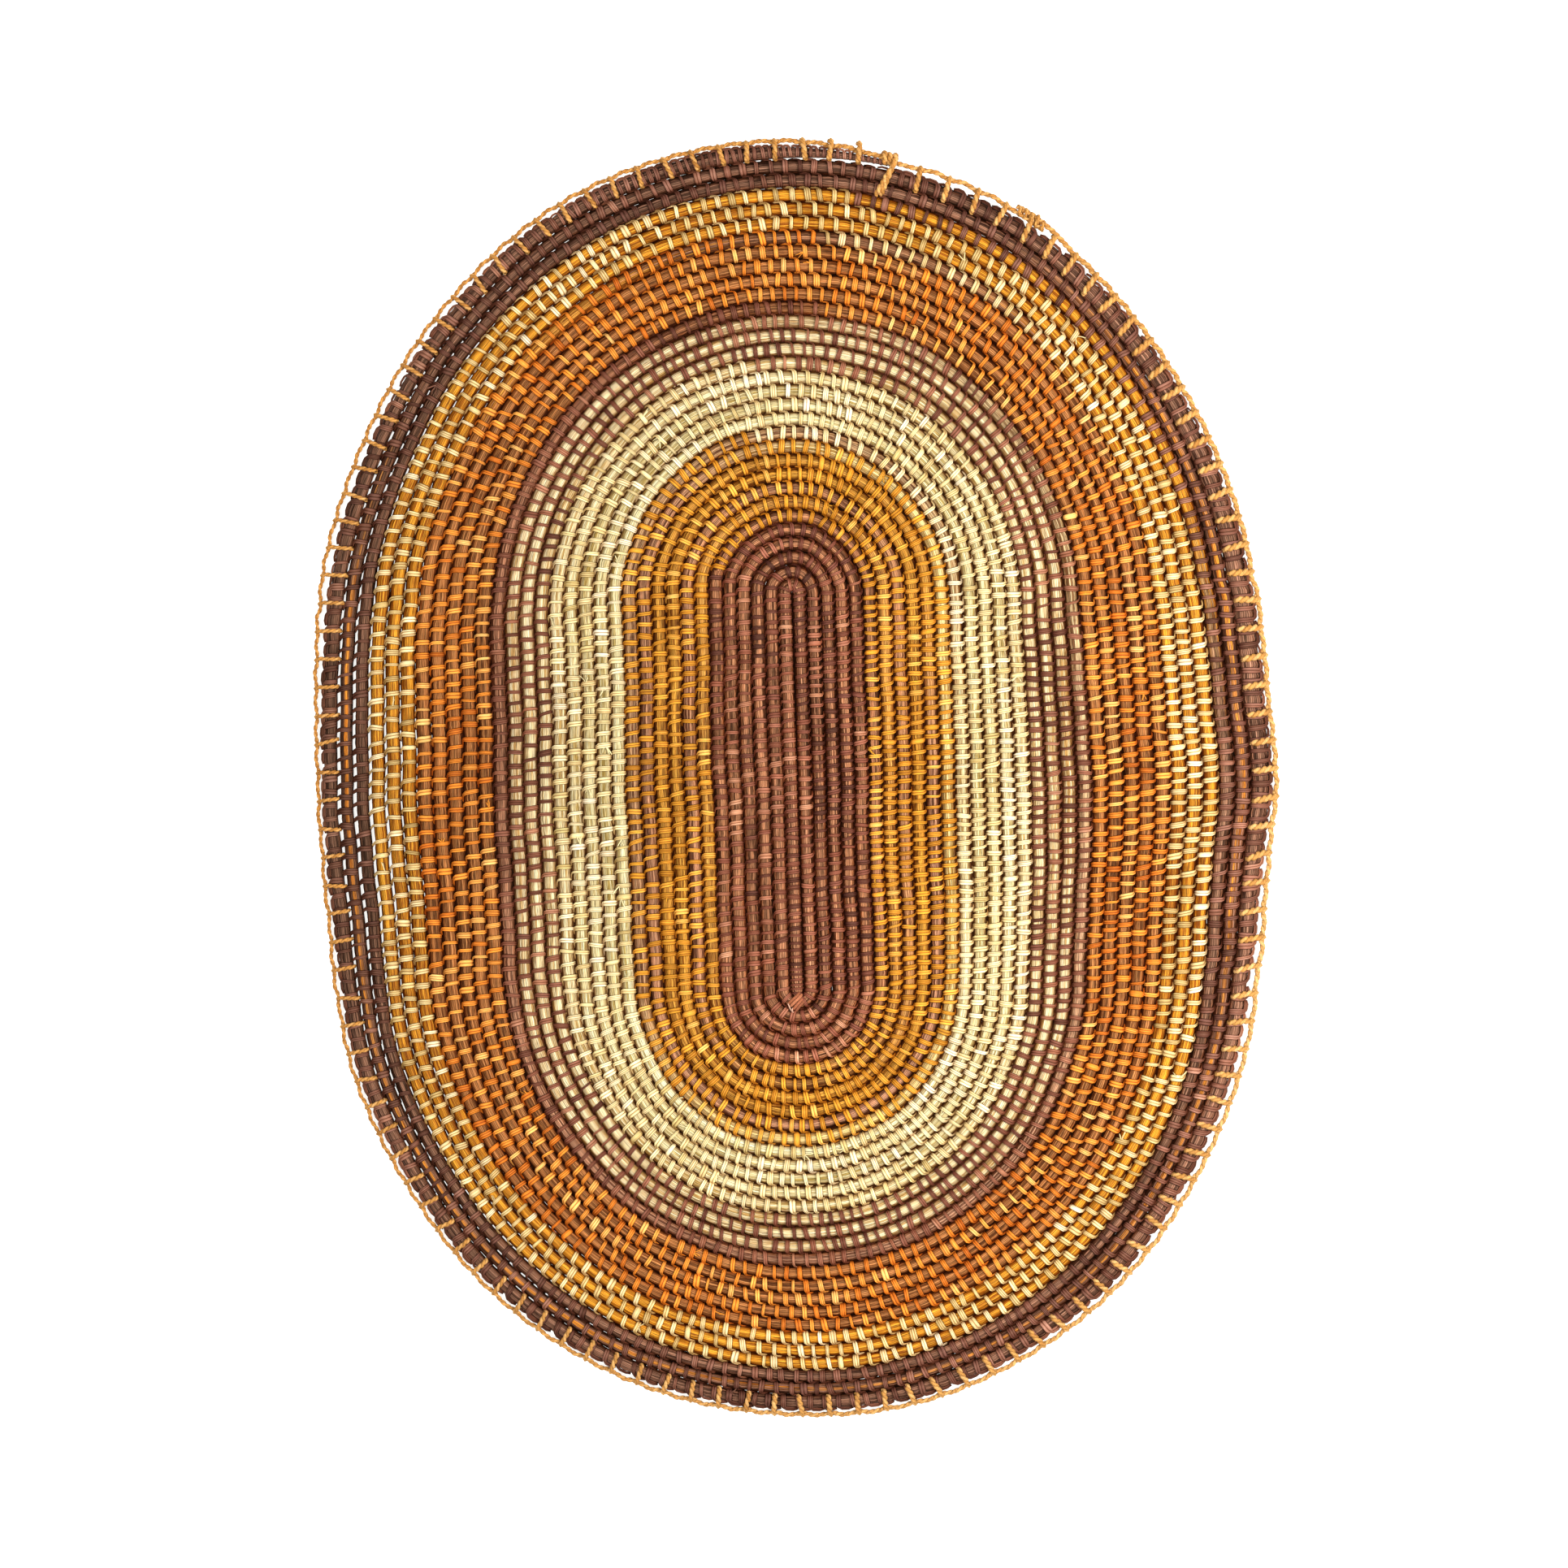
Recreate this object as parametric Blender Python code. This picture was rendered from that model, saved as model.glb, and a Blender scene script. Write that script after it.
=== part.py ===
# Oval coiled mat, lying flat: X to the right, Y along its length, Z up, lengths in metres.
# One long bundle of plant fibre is laid in a flat oval spiral, one dye lot after another, and a
# twisted string is worked round its edge in an open blanket stitch that ends in a knot.

import math

import bpy
import numpy as np

# The coil
BUNDLE_WIDTH = 0.00925
BUNDLE_HEIGHT = 0.009
ROW_GAP = 0.0005
LOT_GAP = 0.0003
CENTRE_RUN = 0.278
CENTRE_TILT = math.radians(1.8)
TOP_FLAT_SHARE = 0.5
SIDE_HEIGHT_SHARE = 0.45
SPREAD_SHARE = 1.08
FOLD_PINCH_SHARE = 0.65
TIP_WIDTH_SHARE = 0.35
TIP_HEIGHT_SHARE = 0.5

# Places along the coil are counted in turns, clockwise from the top of the mat. The corners of a
# loop are its top, both ends of its right side, both ends of its left side, and its top again.
# Turn 0 is the fold at the top of the innermost row.
COIL_START = -0.375
FOLD_END = 0.225
TAPER_START = 31.0
COIL_END = 31.02
CORNERS = (0.0, 0.125, 0.375, 0.625, 0.875, 1.0)
STEPS = (5, 2, 10, 2, 5)
TURN_STEP = 1e-4

# How far the rows lie apart at the rim, as shares of the pitch at the centre: one share for each
# place of a loop, clockwise from the top.
RIM_PITCH_SHARES = (
    1.005, 1.007, 1.005, 0.995, 1.008,
    1.05, 1.085,
    1.027, 0.99, 0.983, 0.973, 0.97, 0.958, 0.955, 0.963, 0.967, 0.99,
    1.04, 1.07,
    1.05, 1.0, 0.99, 0.998, 1.005,
)

# The edge string
STRING_DIAMETER = 0.003
STRING_SEAT = 0.0004
STRING_SIDES = 6
STANDOFF = 0.009
STANDOFF_TURNS = (30.0, 30.15, 30.38, 30.5, 30.65, 30.75, 30.88, 30.96, 31.0, 31.02)
STANDOFF_SHARES = (0.75, 1.0, 0.95, 0.65, 0.55, 0.4, 0.8, 0.6, 0.4, 0.6)
SCALLOP = 0.001
LEG_SPACING = 0.0198
LEG_LEAN = 0.001
LEG_THICKNESS = 0.0024
LEG_DIVE_SHARE = 0.45
LEG_SAMPLES = 400
KNOT_TURN = 30.02
KNOT_WRAPS = 2.5
KNOT_PITCH = 0.0035
WRAP_POINTS = 10
SPLICE_TURN = 30.0455
SPLICE_LENGTH = 0.020
SPLICE_GAP = 0.0005

# A leg's stations: how far over the rim row it is, counted as in seat_corners, how much of its lean
# it has there, and how much of its thickness.
LEG_PLAN_SHARES = (
    (0.0, 0.25, 1.0),
    (1.0, 0.4, 1.0),
    (2.0, 0.8, 1.0),
    (2.0 + LEG_DIVE_SHARE, 1.0, 0.65),
)

PITCH = BUNDLE_WIDTH + ROW_GAP
STRING_RADIUS = STRING_DIAMETER / 2
WRAP_RADIUS = STRING_DIAMETER + STRING_SEAT
STRING_LEVEL = WRAP_RADIUS + STRING_RADIUS + STRING_SEAT
KNOT_HALF = (KNOT_WRAPS * KNOT_PITCH + STRING_DIAMETER) / 2

# Dye lots in the order in which they were coiled: name, last turn, colour
DYE_LOTS = (
    ("coil_brown_start", 4.90, (0.26, 0.10, 0.06)),
    ("coil_gold", 10.98, (0.80, 0.38, 0.03)),
    ("coil_cream", 15.99, (0.75, 0.62, 0.34)),
    ("coil_mauve", 20.01, (0.22, 0.11, 0.08)),
    ("coil_orange", 25.01, (0.72, 0.22, 0.03)),
    ("coil_yellow", 28.015, (0.80, 0.48, 0.12)),
    ("coil_dark_rim", COIL_END, (0.12, 0.055, 0.045)),
)
STRING_COLOUR = (0.55, 0.33, 0.10)
FIBRE_ROUGHNESS = 0.75


def clear_scene():
    for obj in list(bpy.data.objects):
        bpy.data.objects.remove(obj)


def material(name, colour):
    made = bpy.data.materials.new(name)
    made.use_nodes = True
    shader = made.node_tree.nodes["Principled BSDF"]
    shader.inputs["Base Color"].default_value = (*colour, 1.0)
    shader.inputs["Roughness"].default_value = FIBRE_ROUGHNESS
    shader.inputs["Metallic"].default_value = 0.0
    return made


def loop_places():
    """The places of one loop, in turns: even steps between its corners."""
    runs = zip(CORNERS, CORNERS[1:], STEPS)
    return np.concatenate([np.linspace(*run, endpoint=False) for run in runs])


PLACES = loop_places()


def along_loop(turn, values):
    """A value that runs straight between the ends of the loop's arcs and sides."""
    return np.interp(np.mod(turn, 1.0), CORNERS, values)


def frame_at(turn):
    """Where a row's reach is measured from, and the level direction in which it is measured."""
    tilt = CENTRE_TILT
    up = np.array([-math.sin(tilt), math.cos(tilt)])
    right = np.array([math.cos(tilt), math.sin(tilt)])
    angle = along_loop(turn, np.radians([0, 90, 90, 270, 270, 360]))
    down_share = along_loop(turn, [0, 0, 1, 1, 0, 0])
    foot = (CENTRE_RUN * (0.5 - down_share))[..., None] * up
    foot = foot + (PITCH / 2 * (1 - down_share))[..., None] * right
    way = np.sin(angle)[..., None] * right + np.cos(angle)[..., None] * up
    return foot, way


def rows_out(turn):
    """How many rows out from the centre line a place on the coil lies."""
    return np.floor(turn) + along_loop(turn, [0.5, 0.5, 1, 1, 1.5, 1.5])


def rim_pitch(turn):
    return PITCH * np.interp(np.mod(turn, 1.0), PLACES, RIM_PITCH_SHARES, period=1.0)


def row_reach(turn):
    """The middle of the row: rows are PITCH apart at the centre and drift to the rim's pitch."""
    rows = rows_out(turn)
    drift = (rim_pitch(turn) - PITCH) * rows / rows_out(TAPER_START)
    return rows * (PITCH + drift)


def row_width(turn):
    rows = rows_out(turn)
    spacing = PITCH + 2 * (rim_pitch(turn) - PITCH) * rows / rows_out(TAPER_START)
    width = np.minimum(spacing - ROW_GAP, BUNDLE_WIDTH * SPREAD_SHARE)
    # The bundle is pinched where its first row folds back on itself.
    fold = np.interp(np.abs(turn), [0.0, FOLD_END], [1.0, 0.0])
    return width * (1 - (1 - FOLD_PINCH_SHARE) * fold)


def station_section(turn):
    """Inner and outer edge of the row at places of the loop."""
    foot, way = frame_at(turn)
    reach = row_reach(turn)[..., None]
    half = row_width(turn)[..., None] / 2
    return foot + way * (reach - half), foot + way * (reach + half)


def section_at(turn):
    """The row's edges anywhere on it, on the straight runs between the places of the loop."""
    loop = math.floor(turn)
    places = np.append(PLACES, 1.0) + loop
    step = int(np.searchsorted(places, turn, side="right")) - 1
    step = min(step, len(places) - 2)
    ends = places[step:step + 2]
    share = (turn - ends[0]) / (ends[1] - ends[0])
    inner, outer = station_section(ends)
    return inner[0] + share * (inner[1] - inner[0]), outer[0] + share * (outer[1] - outer[0])


def row_profile(inner, outer, width_share=1.0, height_share=1.0):
    """Six corners of the bundle: flat below and above, widest a little under its middle."""
    outer = inner + (outer - inner) * width_share
    middle = (inner + outer) / 2
    flat = (outer - inner) / 2 * TOP_FLAT_SHARE
    height = BUNDLE_HEIGHT * height_share
    level = height * SIDE_HEIGHT_SHARE
    corners = (
        (middle + flat, 0.0),
        (outer, level),
        (middle + flat, height),
        (middle - flat, height),
        (inner, level),
        (middle - flat, 0.0),
    )
    return np.array([(x, y, z) for (x, y), z in corners])


def tube_faces(rings, sides):
    """Quads between successive rings of a tube, and a cap at each end."""
    faces = []
    for ring in range(rings - 1):
        for side in range(sides):
            here = ring * sides
            after = (side + 1) % sides
            faces.append((here + side, here + after, here + sides + after, here + sides + side))
    faces.append(tuple(range(sides))[::-1])
    last = (rings - 1) * sides
    faces.append(tuple(range(last, last + sides)))
    return faces


def add_object(name, points, faces, colour):
    mesh = bpy.data.meshes.new(name)
    mesh.from_pydata([tuple(point) for point in points], [], faces)
    mesh.update()
    if signed_volume(mesh) < 0:
        mesh.flip_normals()
    mesh.materials.append(material(name, colour))
    obj = bpy.data.objects.new(name, mesh)
    bpy.context.collection.objects.link(obj)
    return obj


def signed_volume(mesh):
    mesh.calc_loop_triangles()
    points = np.array([vertex.co for vertex in mesh.vertices])
    corners = points[np.array([list(tri.vertices) for tri in mesh.loop_triangles])]
    return float(np.linalg.det(corners).sum() / 6)


def run_length(turn):
    """How many metres of row one turn makes at this place."""
    ahead = sum(section_at(turn + TURN_STEP)) / 2
    behind = sum(section_at(turn - TURN_STEP)) / 2
    return float(np.linalg.norm(ahead - behind)) / (2 * TURN_STEP)


def lot_turns(first, last):
    """The places where a dye lot's sections stand: its two ends and the loop's places between."""
    loops = np.arange(math.floor(first), math.ceil(last) + 1)
    places = (loops[:, None] + PLACES[None, :]).ravel()
    inside = places[(places > first) & (places < last)]
    return np.concatenate([[first], inside, [last]])


def build_dye_lot(name, first, last, colour):
    rings = []
    for turn in lot_turns(first, last):
        inner, outer = section_at(turn)
        tip = np.interp(turn, [TAPER_START, COIL_END], [0.0, 1.0])
        width_share = 1 - (1 - TIP_WIDTH_SHARE) * tip
        height_share = 1 - (1 - TIP_HEIGHT_SHARE) * tip
        rings.append(row_profile(inner, outer, width_share, height_share))
    points = np.concatenate(rings)
    return add_object(name, points, tube_faces(len(rings), len(rings[0])), colour)


def build_coil():
    first = COIL_START
    for name, last, colour in DYE_LOTS:
        half_gap = LOT_GAP / 2 / run_length(last)
        end = last if last == COIL_END else last - half_gap
        build_dye_lot(name, first, end, colour)
        first = last + half_gap


def least_row_gap():
    """The least gap between neighbouring rows, from each corner of one edge to the other edge."""
    turns = lot_turns(0.0, COIL_END - 1.0)
    here = [section_at(turn) for turn in turns]
    beyond = [section_at(turn + 1.0) for turn in turns]
    outer = np.array([edges[1] for edges in here])
    inner = np.array([edges[0] for edges in beyond])
    return min(least_distance(inner, outer), least_distance(outer, inner))


def least_distance(points, line):
    """The least distance from each point to the two runs of the line beside it."""
    best = math.inf
    for offset in (-1, 0):
        starts = line[1 + offset:len(line) - 1 + offset]
        ends = line[2 + offset:len(line) + offset]
        near = points[1:-1]
        run = ends - starts
        share = ((near - starts) * run).sum(1) / (run * run).sum(1)
        foot = starts + np.clip(share, 0, 1)[:, None] * run
        best = min(best, float(np.linalg.norm(near - foot, axis=1).min()))
    return best


def outward_at(turn):
    inner, outer = section_at(turn)
    return (outer - inner) / np.linalg.norm(outer - inner)


def string_point(turn, push=0.0):
    """The middle of the running string beside the rim row, pushed outwards by push."""
    inner, outer = section_at(turn)
    tip = np.interp(turn, [TAPER_START, COIL_END], [0.0, 1.0])
    edge = inner + (outer - inner) * (1 - (1 - TIP_WIDTH_SHARE) * tip)
    standoff = STANDOFF * np.interp(turn, STANDOFF_TURNS, STANDOFF_SHARES)
    return edge + outward_at(turn) * (standoff + push)


def string_ring(middle, outward):
    """Six corners of the string at a point, the first one outwards."""
    angles = np.arange(STRING_SIDES) * 2 * math.pi / STRING_SIDES
    level = STRING_RADIUS * np.cos(angles)
    ring = np.empty((STRING_SIDES, 3))
    ring[:, :2] = middle + level[:, None] * outward
    ring[:, 2] = STRING_LEVEL + STRING_RADIUS * np.sin(angles)
    return ring


def seat_corners(turn, over, thickness):
    """Under and upper side of a leg at a corner of the rim row's profile.

    over is 0 halfway up the outer flank, 1 and 2 at the two top corners, and above 2 down the
    inner flank. Each side is the profile moved out by the seat gap, or that and a thickness.
    """
    inner, outer = section_at(turn)
    middle = (inner + outer) / 2
    outward = outward_at(turn)
    half = np.linalg.norm(outer - inner) / 2
    flat = half * TOP_FLAT_SHARE
    level = BUNDLE_HEIGHT * SIDE_HEIGHT_SHARE
    flank = np.array([half - flat, level - BUNDLE_HEIGHT])
    flank_normal = np.array([-flank[1], flank[0]]) / np.linalg.norm(flank)
    top = np.array([flat, BUNDLE_HEIGHT])
    sides = []
    for offset in (STRING_SEAT, STRING_SEAT + thickness):
        if over == 0:
            spot = top + flank / 2 + flank_normal * offset
        elif over <= 2:
            bisector = flank_normal + np.array([0.0, 1.0])
            bisector /= np.linalg.norm(bisector)
            spot = top + bisector * offset / bisector[1]
        else:
            spot = top + flank * (over - 2) + flank_normal * offset
        across = spot[0] if over < 2 else -spot[0]
        sides.append((middle + outward * across, spot[1]))
    return sides


def leg_rings(turn):
    """Four rings of a leg, from the rim row's outer flank over its top into the groove inside it."""
    lean = LEG_LEAN / run_length(turn)
    rings = []
    for over, lean_share, thickness_share in LEG_PLAN_SHARES:
        place = turn - lean * lean_share
        seat = seat_corners(place, over, LEG_THICKNESS * thickness_share)
        (under, under_level), (upper, upper_level) = seat
        outward = outward_at(place)
        clockwise = np.array([outward[1], -outward[0]]) * STRING_RADIUS
        rings.append([
            (*(under - clockwise), under_level),
            (*(under + clockwise), under_level),
            (*(upper + clockwise), upper_level),
            (*(upper - clockwise), upper_level),
        ])
    return rings


def build_string(name, rings, legs):
    """A string through rings, whose legs leave the upper inner side between two given rings."""
    upper_inner, inner_side = 2, 3
    points = [tuple(corner) for ring in rings for corner in ring]
    faces = tube_faces(len(rings), STRING_SIDES)
    for ring, leg in legs:
        here = ring * STRING_SIDES
        after = here + STRING_SIDES
        faces.remove((here + upper_inner, here + inner_side, after + inner_side, after + upper_inner))
        last = [here + inner_side, after + inner_side, after + upper_inner, here + upper_inner]
        for corners in leg:
            new = list(range(len(points), len(points) + 4))
            points += corners
            for side in range(4):
                after_side = (side + 1) % 4
                faces.append((last[side], last[after_side], new[after_side], new[side]))
            last = new
        faces.append(tuple(last))
    return add_object(name, points, faces, STRING_COLOUR)


def knot_frame():
    """The middle of the knot, and the clockwise direction of the string through it."""
    outward = outward_at(KNOT_TURN)
    middle = (string_point(KNOT_TURN) + string_point(KNOT_TURN + 1.0)) / 2
    return middle, outward, np.array([outward[1], -outward[0]])


def leg_turns(first, last):
    """Even places for legs between two turns, LEG_SPACING apart as nearly as a whole count allows."""
    samples = np.linspace(first, last, LEG_SAMPLES)
    points = np.array([string_point(turn) for turn in samples])
    reached = np.concatenate([[0.0], np.cumsum(np.linalg.norm(np.diff(points, axis=0), axis=1))])
    count = max(1, round(reached[-1] / LEG_SPACING))
    return np.interp((np.arange(count) + 0.5) * reached[-1] / count, reached, samples)


def string_rings(turns):
    """Rings of the string at the legs on these turns, drawn in, and midway between them, pushed out."""
    rings = []
    legs = []
    for index, turn in enumerate(turns):
        half = STRING_RADIUS / run_length(turn)
        legs.append((len(rings), leg_rings(turn)))
        for place in (turn - half, turn + half):
            rings.append(string_ring(string_point(place, -SCALLOP), outward_at(place)))
        if index + 1 < len(turns):
            place = (turn + turns[index + 1]) / 2
            rings.append(string_ring(string_point(place, SCALLOP), outward_at(place)))
    return rings, legs


def build_edge_strings():
    """Two lengths of string: a short one from the knot, and a long one that starts beside its end."""
    middle, outward, clockwise = knot_frame()
    splice = SPLICE_LENGTH / run_length(SPLICE_TURN)
    beside = STRING_DIAMETER + SPLICE_GAP
    clear = 2 * KNOT_HALF / run_length(KNOT_TURN)

    def straight(side):
        ends = (side * LOT_GAP / 2, side * (KNOT_HALF + STRING_DIAMETER))
        return [string_ring(middle + clockwise * along, outward) for along in ends]

    rings, legs = string_rings(leg_turns(KNOT_TURN + clear, SPLICE_TURN))
    end = SPLICE_TURN + splice
    rings = straight(1) + rings + [
        string_ring(string_point(place), outward_at(place)) for place in (SPLICE_TURN, end)
    ]
    build_string("edge_string_short", rings, [(first + 2, leg) for first, leg in legs])

    settled = end + splice
    rings, legs = string_rings(leg_turns(settled, KNOT_TURN + 1.0 - clear))
    start = [
        string_ring(string_point(place, beside), outward_at(place)) for place in (SPLICE_TURN, end)
    ]
    rings = start + [string_ring(string_point(settled), outward_at(settled))] + rings
    rings += straight(-1)[::-1]
    build_string("edge_string_long", rings, [(first + 3, leg) for first, leg in legs])


def knot_path():
    """Wraps round the string, then a tail over the rim row and down into the groove inside it."""
    middle, outward, clockwise = knot_frame()
    count = int(round(KNOT_WRAPS * WRAP_POINTS)) + 1
    turned = np.linspace(0, KNOT_WRAPS, count)
    angle = math.pi / 2 + 2 * math.pi * (turned - KNOT_WRAPS)
    along = (turned - KNOT_WRAPS / 2) * KNOT_PITCH
    path = np.empty((count, 3))
    across = WRAP_RADIUS * np.cos(angle)
    path[:, :2] = middle + across[:, None] * outward + along[:, None] * clockwise
    path[:, 2] = STRING_LEVEL + WRAP_RADIUS * np.sin(angle)
    place = KNOT_TURN + KNOT_WRAPS / 2 * KNOT_PITCH / run_length(KNOT_TURN)
    inner, outer = section_at(place)
    over = BUNDLE_HEIGHT + STRING_SEAT + STRING_RADIUS
    flat = (outer - inner) / 2 * TOP_FLAT_SHARE
    rim_middle = (inner + outer) / 2
    groove = inner - outward_at(place) * ROW_GAP / 2
    dive = over - BUNDLE_HEIGHT * (1 - SIDE_HEIGHT_SHARE) * LEG_DIVE_SHARE
    tail = [
        (*((outer + path[-1, :2]) / 2), (over + path[-1, 2]) / 2 + STRING_SEAT),
        (*(rim_middle + flat), over + STRING_SEAT),
        (*(rim_middle - flat), over + STRING_SEAT),
        (*groove, dive),
    ]
    return np.concatenate([path, np.array(tail)])


def build_knot():
    path = knot_path()
    ahead = np.gradient(path, axis=0)
    ahead /= np.linalg.norm(ahead, axis=1)[:, None]
    outward = outward_at(KNOT_TURN)
    clockwise = np.array([outward[1], -outward[0], 0.0])
    across = clockwise - (ahead @ clockwise)[:, None] * ahead
    across /= np.linalg.norm(across, axis=1)[:, None]
    lift = np.cross(ahead, across)
    angles = np.arange(STRING_SIDES) * 2 * math.pi / STRING_SIDES
    ring = np.cos(angles)[None, :, None] * across[:, None, :]
    ring = ring + np.sin(angles)[None, :, None] * lift[:, None, :]
    points = (path[:, None, :] + STRING_RADIUS * ring).reshape(-1, 3)
    return add_object("edge_knot", points, tube_faces(len(path), STRING_SIDES), STRING_COLOUR)


def centre_objects():
    """Moves every mesh so that the middle of the mat's outline is at the origin, on the floor."""
    objects = list(bpy.context.collection.objects)
    corners = np.array([vertex.co for obj in objects for vertex in obj.data.vertices])
    middle = (corners.max(axis=0) + corners.min(axis=0)) / 2
    for obj in objects:
        for vertex in obj.data.vertices:
            vertex.co.x -= middle[0]
            vertex.co.y -= middle[1]
    return middle, corners.max(axis=0) - corners.min(axis=0)


clear_scene()
build_coil()
build_edge_strings()
build_knot()
offset, size = centre_objects()
print(f"least gap between rows {least_row_gap() * 1000:.2f} mm")
print(f"outline moved by {offset[0] * 1000:.2f}, {offset[1] * 1000:.2f} mm")
print("size", " x ".join(f"{side * 1000:.1f}" for side in size), "mm")
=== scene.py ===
import bisect
import math

import bpy
import numpy as np
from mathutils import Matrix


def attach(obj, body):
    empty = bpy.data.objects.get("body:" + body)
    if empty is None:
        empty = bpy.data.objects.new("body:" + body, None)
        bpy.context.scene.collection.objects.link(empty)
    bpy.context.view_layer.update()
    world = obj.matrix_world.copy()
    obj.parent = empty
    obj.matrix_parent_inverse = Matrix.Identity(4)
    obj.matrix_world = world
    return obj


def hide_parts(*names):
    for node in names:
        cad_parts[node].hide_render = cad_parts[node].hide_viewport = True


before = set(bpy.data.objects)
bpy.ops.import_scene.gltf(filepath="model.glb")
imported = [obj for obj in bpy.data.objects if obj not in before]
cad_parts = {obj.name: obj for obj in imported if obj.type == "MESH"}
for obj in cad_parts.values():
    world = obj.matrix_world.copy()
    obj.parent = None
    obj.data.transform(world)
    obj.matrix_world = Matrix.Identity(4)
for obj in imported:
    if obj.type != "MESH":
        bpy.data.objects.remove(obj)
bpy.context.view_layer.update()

# The coil's bundle
# One long bundle of dry leaf fibre, laid in a flat oval spiral from a fold at the centre of the mat.
# It is spliced from seven dye lots and swells a little between the stitches that lash it.
PITCH = 0.00975
CENTRE_RUN = 0.278
CENTRE_TILT = math.radians(1.8)
MAT_SHIFT = np.array([-0.00325, -0.00827])
COIL_START = -0.375
TAPER_START = 30.99
COIL_END = 31.02
CORNERS = (0.0, 0.125, 0.375, 0.625, 0.875, 1.0)
SIDE_PLACES = (0.0, 0.125, 0.25, 0.375, 0.5, 0.625, 0.75, 0.875, 1.0)
# The rim's own pitch, as shares of PITCH round the loop, which make its uneven oval.
RIM_PLACES = (
    0.0, 0.025, 0.05, 0.075, 0.1, 0.125, 0.25, 0.375, 0.4, 0.425, 0.45, 0.475, 0.5,
    0.525, 0.55, 0.575, 0.6, 0.625, 0.75, 0.875, 0.9, 0.925, 0.95, 0.975, 1.0,
)
RIM_PITCH_SHARES = (
    1.005, 1.007, 1.005, 0.995, 1.008, 1.053, 1.094, 1.029, 0.99, 0.983, 0.973, 0.97, 0.958,
    0.955, 0.963, 0.967, 0.99, 1.04, 1.07, 1.05, 1.0, 0.99, 0.998, 1.005, 1.005,
)
RIM_ROWS = 31.5
RIM_AVERAGING = np.linspace(-0.014, 0.014, 7)
# Slow sways of the rows off the even spiral: waves a loop, where they start, and strength.
SWAYS = ((5.04, 0.9, 1.0), (9.03, 0.0, 1.0), (23.06, 2.0, 0.7))
WANDER = 0.00040
WANDER_ROWS = 4
LEAST_WANDER = 0.2
TABLE_POINTS = 90001
TIP_LENGTH = 0.0072
TIP_POINTS = 8
TIP_TURN_STEP = 1e-6
TIP_HEADING_POINTS = 20

# Width and height of a row. The rows lie snug at the centre and loose at the left of the rim.
BUNDLE_HEIGHT = 0.0088
FLOOR_GAP = 0.0004
SNUG_WIDTH_SHARE = 1.085
LOOSE_WIDTH_SHARES = (1.03, 1.04, 1.05, 1.04, 1.03, 0.90, 0.80, 0.89, 1.02)
LOOSE_TURNS = (23.2, 28.6)
FOLD_TURNS = 0.1
FOLD_WIDTH_SHARE = 0.86
TIP_WIDTH_SHARE = 0.12
TIP_HEIGHT_SHARE = 0.7
END_WIDTH_SHARE = 0.34
END_HEIGHT_SHARE = 0.5
WIDTH_UNEVENNESS = 0.04
SWELL_STEP = 0.031
SWELL_COUNT = 4000
RIM_SPREAD_PLACES = (0.0, 0.06, 0.15, 0.25, 0.4, 0.5, 0.75, 0.9, 1.0)
RIM_SPREADS = (0.25, 0.54, 0.52, 0.24, 0.12, 0.08, 0.08, 0.12, 0.25)
RIM_ROW_TURNS = (30.03, 30.07, 30.9, 31.0)
RIM_ROW_SHARES = (0.0, 1.0, 1.0, 0.2)
FOLD_SPREAD_TURNS = (0.0, 0.09, 0.13)
FOLD_SPREADS = (0.30, 0.21, 0.0)

# The section and its fibres. A drift is a step along the run in metres and a strength.
TOP_FIBRES = 13
FIBRE_ARC_START = math.radians(-20)
FIBRE_ARC = math.radians(220)
UNDER_POINTS = 5
SECTION_SQUARENESS = 2.1
SHOULDER_SHARE = 0.26
SHOULDER_STEEPNESS = 1.3
STITCH_CLEARANCE = 0.0008
STITCH_SQUEEZE = 0.15
SQUEEZED_ABOVE = 0.1
STITCH_PRESS_SHARE = 0.6
GROOVE_SHARE = 0.08
FIBRE_SWAY = (0.07, 0.55)
FIBRE_SHAKE = 0.16
RIDGE_DRIFT = (0.05, 0.04)
RIDGE_SHAKE = 0.022
GROOVE_DRIFT = (0.06, 0.5)

# Light and shade painted into the fibres, and their own tone between dark and light dye: painted shade in
# the grooves between them and underneath, painted shadow between rows, and painted light and shade by side
# of the mat.
TONE_MIDDLE = 0.56
TONE_DRIFTS = ((0.11, 0.5), (0.013, 0.4))
TONE_SHAKE = 0.1
DYE_CHANGE_SPREAD = 0.05
GROOVE_SHADE_POWER = 1.6
GROOVE_SHADES = (0.15, 0.75)
SIDE_GROOVE_SHADE = 0.1
UNDER_FIBRE = 4
UNDER_FIBRE_SHADE = 0.3
UNSHADED_WIDTH_SHARES = (0.72, 0.66, 0.63, 0.66, 0.70, 0.71, 0.72, 0.72, 0.72)
EDGE_PLACES = (0.50, 0.80, 1.00, 1.14, 1.32)
EDGE_SHADES = (1.0, 0.84, 0.45, 0.14, 0.05)
OPEN_EDGE_SHARE = 0.64
# Painted shadow deepens the colour: red falls least, blue most.
SHADOW_POWERS = np.array([0.85, 1.25, 1.6])
SHADE_PLACES = (0.0, 0.25, 0.5, 0.62, 0.75, 0.88, 1.0)
PAINTED_SIDE_SHADES = (1.0, 0.98, 1.06, 1.0, 0.88, 0.96, 1.0)
DARK_RIM_PAINTED_SHADES = (0.95, 1.24, 1.06, 0.85, 0.56, 0.8, 0.95)
DARK_RIM_TURNS = (28.0, 28.4)

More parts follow.
